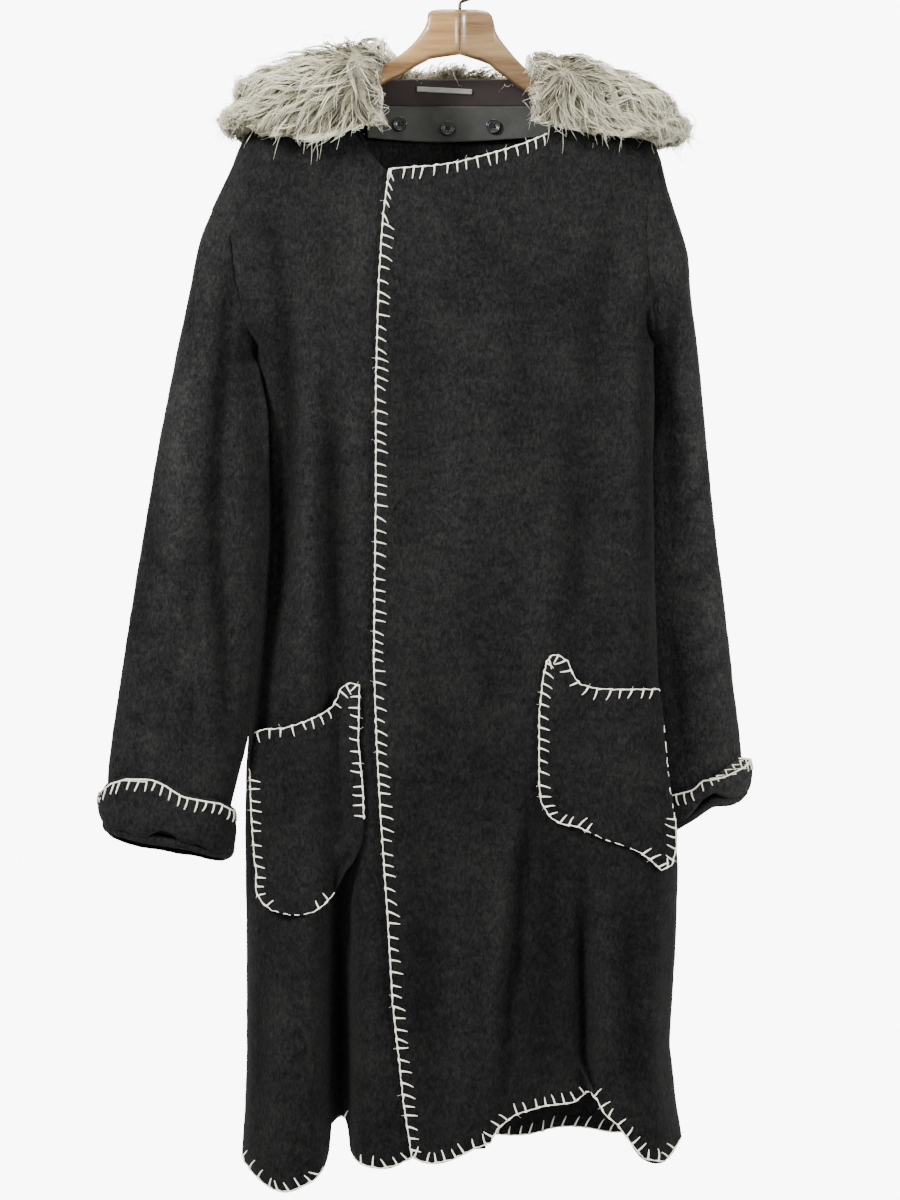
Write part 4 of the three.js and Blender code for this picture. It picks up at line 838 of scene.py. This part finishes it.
def cuffStitch(side):
    look = cuffLook[side]
    tree = trees["cuff_" + side]

    def at(angle, below):
        x = look["x"] + look["halfX"] * squared(math.cos(angle))
        z = np.interp(x, *zip(*look["top"])) - look["dip"] * max(math.sin(angle), 0) - below
        out = Vector((math.cos(angle), math.sin(angle) * 0.8, 0)).normalized()
        place, normal, _, _ = tree.ray_cast(Vector((look["x"], look["y"], z)) * mm + out * 0.2, -out)
        if place is None:
            place, normal, _, _ = tree.find_nearest(Vector((x, look["y"], z)) * mm + out * 40 * mm)
        return place, normal

    ring = []
    for k in range(cuffLook["steps"] + 1):
        place, normal = at(2 * math.pi * k / cuffLook["steps"], 1.0)
        ring.append((tuple(place + normal * stitchLook["lift"] * 0.5 + Vector((0, 0, 1.2 * mm))), 1.0))
    lines = [ring]
    around = sum((Vector(a[0]) - Vector(b[0])).length for a, b in zip(ring[:-1], ring[1:])) / mm
    count = int(around / stitchLook["pitch"])
    for k in range(count):
        angle = 2 * math.pi * (k + draw.uniform(-0.15, 0.15)) / count
        length = stitchLook["leg"] * draw.uniform(0.8, 1.1)
        leg = []
        swing = look["slant"] * draw.uniform(0.6, 1.4)
        for share in (0, 0.15, 0.35, 0.55, 0.75, 0.9, 1.0):
            place, normal = at(angle + swing * share ** 1.5, length * share + 0.6)
            up = stitchLook["lift"] * (0.6 + 0.7 * math.sin(math.pi * share))
            up -= 1.1 * mm if share == 1 else 0
            leg.append((tuple(place + normal * up), 1.1 - 0.3 * share ** 3))
        lines.append(leg)
    addPiece("stitchCuff" + side.capitalize(), threadTube("stitchCuff", lines, stitchLook["yarn"]),
             ivoryYarn, "wool")


def cuffRoll(side):
    # the fold's inner edge, a loose roll that hangs lower behind
    look = cuffLook[side]
    name = "cuffRoll" + side.capitalize()
    line = []
    for angle in np.linspace(0, 2 * math.pi, 73):
        cosine, sine = math.cos(angle), math.sin(angle)
        rough = noise.noise(Vector((cosine * 2.2, sine * 2.2, look["x"])))
        x = look["x"] + (look["halfX"] - 8) * squared(cosine)
        y = look["y"] + (look["halfY"] - 8) * squared(sine)
        z = np.interp(x, *zip(*cuffEnds["cuff_" + side])) - look["hang"] * max(sine, 0) ** 0.6
        line.append(((x * mm, y * mm, (z + 3.5 + 3.2 * rough) * mm), 1 + 0.35 * rough))
    addPiece(name, threadTube(name, [line], 4.6 * mm, resolution=5), wool, "wool")


for make in (cuffRoll, cuffStitch):
    make("left")
    make("right")
print("edges stitched")


def hairMesh(name, lines, radii, along, tone):
    # thin three-sided tubes round lines that are given as strands x points x 3, with their radii, how far
    # along a hair each point is, and the tone of each strand
    strands, steps, _ = lines.shape
    corners = 3
    ahead = np.gradient(lines, axis=1)
    ahead /= np.linalg.norm(ahead, axis=2, keepdims=True) + 1e-9
    helper = np.where(np.abs(ahead[:, :, 2:3]) > 0.9, np.array([1.0, 0, 0]), np.array([0, 0, 1.0]))
    aside = np.cross(ahead, helper)
    aside /= np.linalg.norm(aside, axis=2, keepdims=True) + 1e-9
    upwards = np.cross(aside, ahead)
    angles = [2 * math.pi * c / corners for c in range(corners)]
    points = np.stack([lines + (aside * math.cos(angle) + upwards * math.sin(angle)) * radii[:, :, None]
                       for angle in angles], 2).reshape(-1, 3)
    base = np.arange(strands)[:, None, None] * steps * corners
    row = np.arange(steps - 1)[None, :, None] * corners
    here = np.arange(corners)[None, None, :]
    following = (here + 1) % corners
    quads = np.stack([base + row + here, base + row + corners + here, base + row + corners + following,
                      base + row + following], 3).reshape(-1, 4)
    caps = np.concatenate([base[:, 0] + here[0], base[:, 0] + (steps - 1) * corners + here[0, :, ::-1]])
    mesh = bpy.data.meshes.new(name)
    mesh.vertices.add(len(points))
    mesh.vertices.foreach_set("co", points.ravel())
    loops = np.concatenate([quads.ravel(), caps.ravel()])
    mesh.loops.add(len(loops))
    mesh.loops.foreach_set("vertex_index", loops)
    starts = np.concatenate([np.arange(len(quads)) * 4, len(quads) * 4 + np.arange(len(caps)) * corners])
    mesh.polygons.add(len(starts))
    mesh.polygons.foreach_set("loop_start", starts)
    mesh.update(calc_edges=True)
    for key, values in (("along", along), ("tone", tone[:, None])):
        values = np.broadcast_to(values, (strands, steps)).ravel()
        layer = mesh.attributes.new(key, "FLOAT", "POINT")
        layer.data.foreach_set("value", np.repeat(values, corners).astype(np.float32))
    return mesh


furLook = {"inset": 19 * mm, "share": 0.42, "rise": 16 * mm, "spread": 3.9 * mm, "swirl": 0.66, "strands": 7}
# ranges, with length and thickness in millimetres, and the powers of a side's scale for length and rise
furKinds = {
    "locks": {"steps": 6, "length": (34, 62), "rise": (0.5, 1.15), "swing": (0.1, 1.0), "thick": (0.32, 0.56),
              "powers": (1, 0.5)},
    "down": {"steps": 4, "length": (16, 34), "rise": (0.2, 0.75), "swing": (-0.8, 0.8), "thick": (0.62, 1.05),
             "powers": (0.5, 0)},
    "wisps": {"steps": 9, "length": (34, 58), "rise": (0.9, 1.45), "swing": (0.2, 1.2), "thick": (0.3, 0.46),
              "powers": (1, 0.5)},
}
furSides = {
    "left": {"locks": 860, "down": 2000, "wisps": 460, "seed": 3, "scale": 1.0},
    "right": {"locks": 850, "down": 2000, "wisps": 460, "seed": 5, "scale": 1.0},
    "back": {"locks": 370, "down": 1200, "wisps": 200, "seed": 8, "scale": 0.58},
}


def hairWay(side, place, normal):
    # away from a parting near the neck, with swirls as wide as a few locks
    x, y, z = place / mm
    swirl = Vector((noise.noise(place / (30 * mm)), noise.noise(place / (30 * mm) + Vector((5, 0, 0))),
                    noise.noise(place / (27 * mm) + Vector((0, 9, 0)))))
    if side == "back":
        way = Vector((0.1, -0.1, -1.0 + 1.9 * min(max((z + 124) / 16, 0), 1)))
        return way.normalized() + swirl * furLook["swirl"]
    outwards = -1 if side == "left" else 1
    parting = Vector((-112, 0, -152)) if side == "left" else Vector((112, 0, -150))
    away = Vector((x, 0, z)) - parting
    way = away / (away.length + 30)
    far = min(max((abs(x) - 120) / 70, 0), 1)
    way += Vector((outwards * (0.35 + 0.5 * far), 0, -0.3 - 0.5 * far * (z < -140)))
    neckwards = min(max((114 - abs(x)) / 26, 0), 1)
    way += Vector((-outwards * 1.35 * neckwards, -0.25 * neckwards, 0.1 * neckwards))
    if normal.z > 0.4:
        way += Vector((0, 0.75, 0)) * normal.z
    if abs(y) > 45:
        way += Vector((0, math.copysign(0.3, y), -0.45))
    return way.normalized() + swirl * furLook["swirl"]


def furSkinMesh(nodeName):
    mesh = smoothCopy(nodeName, 2, grow=0)
    tree = treeOf(mesh)
    points, normals = pointsOf(mesh), normalsOf(mesh)
    moved = []
    for point, normal in zip(points, normals):
        place, inward = Vector(point), -Vector(normal)
        under = normal[2] < -0.35 and abs(point[1]) < 50 * mm
        far = tree.ray_cast(place + inward * 0.2 * mm, inward)[3] or 30 * mm
        depth = min(furLook["inset"], far * furLook["share"])
        moved.append(place + inward * (0.5 * mm if under and nodeName != "fur_back" else depth))
    setPoints(mesh, np.array(moved))
    bm = bmesh.new()
    bm.from_mesh(mesh)
    for _ in range(12):  # the hair's roots follow no ridge
        bmesh.ops.smooth_vert(bm, verts=bm.verts, factor=0.5, use_axis_x=True, use_axis_y=True,
                              use_axis_z=True)
    bm.to_mesh(mesh)
    bm.free()
    return mesh


def furRoots(side, mesh, count, pick):
    mesh.calc_loop_triangles()
    points = pointsOf(mesh)
    corners = np.empty(len(mesh.loop_triangles) * 3, int)
    mesh.loop_triangles.foreach_get("vertices", corners)
    a, b, c = (points[corners.reshape(-1, 3)[:, k]] for k in range(3))
    cross = np.cross(b - a, c - a)
    size = np.linalg.norm(cross, axis=1)
    facing = cross / (size[:, None] + 1e-12)
    middle = (a + b + c) / 3
    if side == "back":  # the side that lies on the lining is bare
        bare = (facing[:, 1] < -0.3) & (middle[:, 2] < -122 * mm)
    else:  # so is the side that lies on the shoulder
        bare = (facing[:, 2] < -0.35) & (np.abs(middle[:, 1]) < 50 * mm)
    weight = np.where(bare, 0, size)
    chosen = pick.choice(len(size), count, p=weight / weight.sum())
    u, v = pick.rand(2, count)
    over = u + v > 1
    u, v = np.where(over, 1 - u, u), np.where(over, 1 - v, v)
    return a[chosen] + u[:, None] * (b[chosen] - a[chosen]) + v[:, None] * (c[chosen] - a[chosen])


def combed(side, kind, tree, mesh, pick):
    # hair that walks over the skin and lifts off it, as strands x points x 3
    look, scale = furKinds[kind], furSides[side]["scale"]
    roots = furRoots(side, mesh, furSides[side][kind], pick)
    if kind == "wisps" and side != "back":  # none beside the hanger
        roots = roots[(np.abs(roots[:, 0]) > 103 * mm) | (roots[:, 2] < -128 * mm)]
    count, steps = len(roots), look["steps"]
    length = pick.uniform(*look["length"], count) * mm * scale ** look["powers"][0]
    rise = furLook["rise"] * pick.uniform(*look["rise"], count) * scale ** look["powers"][1]
    swing = pick.uniform(*look["swing"], count)
    lines, lifts = np.empty((2, count, steps, 3))
    for i, root in enumerate(roots):
        place = Vector(root)
        normal = tree.find_nearest(place)[1]
        way = hairWay(side, place, normal)
        phase, turns = pick.uniform(0, 6.3), pick.uniform(2.2, 5.2)
        lines[i, 0] = place - normal * 1.5 * mm
        lifts[i, 0] = normal
        for k in range(1, steps):
            share = k / (steps - 1)
            flat = way - normal * way.dot(normal)
            if flat.length < 0.05:
                flat = Vector((0.2, 0, -1)) - normal * normal.dot(Vector((0.2, 0, -1)))
            flat.normalize()
            bend = swing[i] * math.sin(phase + share * turns)
            step = (flat + normal.cross(flat) * bend).normalized() * length[i] / (steps - 1)
            if kind == "wisps" and i % 3 == 0 and normal.z < -0.12:  # it hangs free of the skin
                drop = (step + Vector((0, 0, -1)) * step.length).normalized() * step.length
                lines[i, k] = lines[i, k - 1] + np.array(drop * 0.6)
            else:  # hair lies lower on the outer side and below, and higher on top
                place, normal, _, _ = tree.find_nearest(place + step)
                outer = max(normal.x * math.copysign(1, root[0]), 0)
                low = 1 - 0.42 * max(-normal.z, 0) - 0.7 * outer + 0.3 * max(normal.z, 0)
                lines[i, k] = place + normal * rise[i] * low * (1 - (1 - share) ** 1.7)
            lifts[i, k] = normal
    return lines, lifts, np.linspace(0, 1, steps)[None, :]


def growLocks(side, tree, mesh, pick):
    # each lock is a handful of strands that part at the skin and meet in a point
    lines, lifts, flat = combed(side, "locks", tree, mesh, pick)
    count, steps, _ = lines.shape
    strands = furLook["strands"]
    share = flat[None, :, :, None]
    angle = pick.uniform(0, 2 * math.pi, (count, strands, 1, 1))
    off = furLook["spread"] * np.sqrt(pick.uniform(0.05, 1, (count, strands, 1, 1)))
    helper = np.cross(lifts, np.gradient(lines, axis=1))
    helper /= np.linalg.norm(helper, axis=2, keepdims=True) + 1e-9
    other = np.cross(lifts, helper)
    around = helper[:, None] * np.cos(angle) + other[:, None] * np.sin(angle)
    full = lines[:, None] + around * off * ((1 - share) ** 0.7 * 0.93 + 0.07)
    full += lifts[:, None] * pick.uniform(-1.2, 1.2, (count, strands, 1, 1)) * mm * share
    full += (full[:, :, -1:] - full[:, :, :1]) * pick.uniform(-0.16, 0.1, (count, strands, 1, 1)) * share ** 2
    total = count * strands
    radii = (pick.uniform(*furKinds["locks"]["thick"], total) * mm)[:, None] * (1.0 - 0.86 * flat ** 1.6)
    tone = np.repeat(pick.uniform(0.3, 1.0, count) ** 1.5, strands) * 0.85
    tone += pick.uniform(0, 0.15, total)
    return full.reshape(total, steps, 3), radii, flat, tone


def growDown(side, tree, mesh, pick):
    lines, _, share = combed(side, "down", tree, mesh, pick)
    count = len(lines)
    radii = (pick.uniform(*furKinds["down"]["thick"], count) * mm)[:, None] * (1.0 - 0.85 * share ** 1.6)
    return lines, radii, share * 0.7, pick.uniform(0, 0.32, count)


def growWisps(side, tree, mesh, pick):
    # long loose hairs that leave the coat's outline
    lines, lifts, share = combed(side, "wisps", tree, mesh, pick)
    count = len(lines)
    lines += lifts * pick.uniform(0, 7, count)[:, None, None] * mm * (share ** 2)[:, :, None]
    lines[:, :, 2] -= pick.uniform(0, 6, count)[:, None] * mm * share ** 2
    radii = (pick.uniform(*furKinds["wisps"]["thick"], count) * mm)[:, None] * (1.0 - 0.8 * share ** 2)
    return lines, radii, share * 0.5 + 0.5, pick.uniform(0.62, 1, count)


for side, look in furSides.items():
    node = "fur_" + side
    pick = np.random.RandomState(look["seed"])
    skinMesh = furSkinMesh(node)
    tree = treeOf(skinMesh)
    addPiece("furSkin" + side.capitalize(), skinMesh, furSkin, "fur", node)
    for kind, grow in (("Locks", growLocks), ("Down", growDown), ("Wisps", growWisps)):
        name = "fur" + kind + side.capitalize()
        addPiece(name, hairMesh(name, *grow(side, tree, skinMesh, pick)), furHair, "fur", node)
print("fur grown")


stage = {"radius": 1.7, "height": -1.85, "camera": (-0.0105, -3.04, -0.677), "halfHeight": 0.63, "away": 3.0}
floor = added("floor", bpy.data.meshes.new("floor"))
bm = bmesh.new()
bmesh.ops.create_circle(bm, cap_ends=True, segments=96, radius=stage["radius"])
bmesh.ops.translate(bm, verts=bm.verts, vec=(0, 0, stage["height"]))
bm.to_mesh(floor.data)
bm.free()
paleFloor = Finish("paleFloor", Roughness=0.9)
paleFloor.feed("Base Color", paleFloor.ramp(paleFloor.noise(3), (0.3, (0.8,) * 3), (0.7, (0.86,) * 3)))
floor.data.materials.append(paleFloor.material)

studio = {"shown": 9.0, "fill": 0.62}  # the white surround as seen, and as it lights the coat
world = bpy.data.worlds.new("studio")
bpy.context.scene.world = world
world.use_nodes = True
tree = world.node_tree
seen = tree.nodes.new("ShaderNodeLightPath")
blend = tree.nodes.new("ShaderNodeMixShader")
shown, fill = tree.nodes.new("ShaderNodeBackground"), tree.nodes["Background"]
for light, power in ((shown, studio["shown"]), (fill, studio["fill"])):
    light.inputs[0].default_value = (1, 1, 1, 1)
    light.inputs[1].default_value = power
tree.links.new(seen.outputs["Is Camera Ray"], blend.inputs[0])
tree.links.new(fill.outputs[0], blend.inputs[1])
tree.links.new(shown.outputs[0], blend.inputs[2])
tree.links.new(blend.outputs[0], tree.nodes["World Output"].inputs[0])


lights = {  # place, height of the point it is aimed at, size and power
    "keyLight": ((-1.9, -1.7, 1.0), -0.45, 0.9, 175), "fillLight": ((2.3, -2.0, 0.4), -0.5, 1.2, 96),
    "topLight": ((0.2, 0.2, 1.9), -0.3, 1.2, 74), "backLight": ((1.2, 2.6, 0.6), -0.6, 1.2, 95),
    "backFill": ((-1.6, 2.2, 0.2), -0.6, 1.2, 44),
}
for name, (place, height, size, power) in lights.items():
    light = bpy.data.lights.new(name, "AREA")
    light.shape = "DISK"
    light.size = size
    light.energy = power
    lamp = added(name, light)
    lamp.location = place
    lamp.rotation_euler = (Vector((0, 0, height)) - Vector(place)).to_track_quat("-Z", "Y").to_euler()

camera = added("camera", bpy.data.cameras.new("camera"))
camera.location = stage["camera"]
camera.rotation_euler = (math.pi / 2, 0, 0)
camera.data.angle = 2 * math.atan(stage["halfHeight"] / stage["away"])  # the height seen at the coat's front
bpy.context.scene.camera = camera
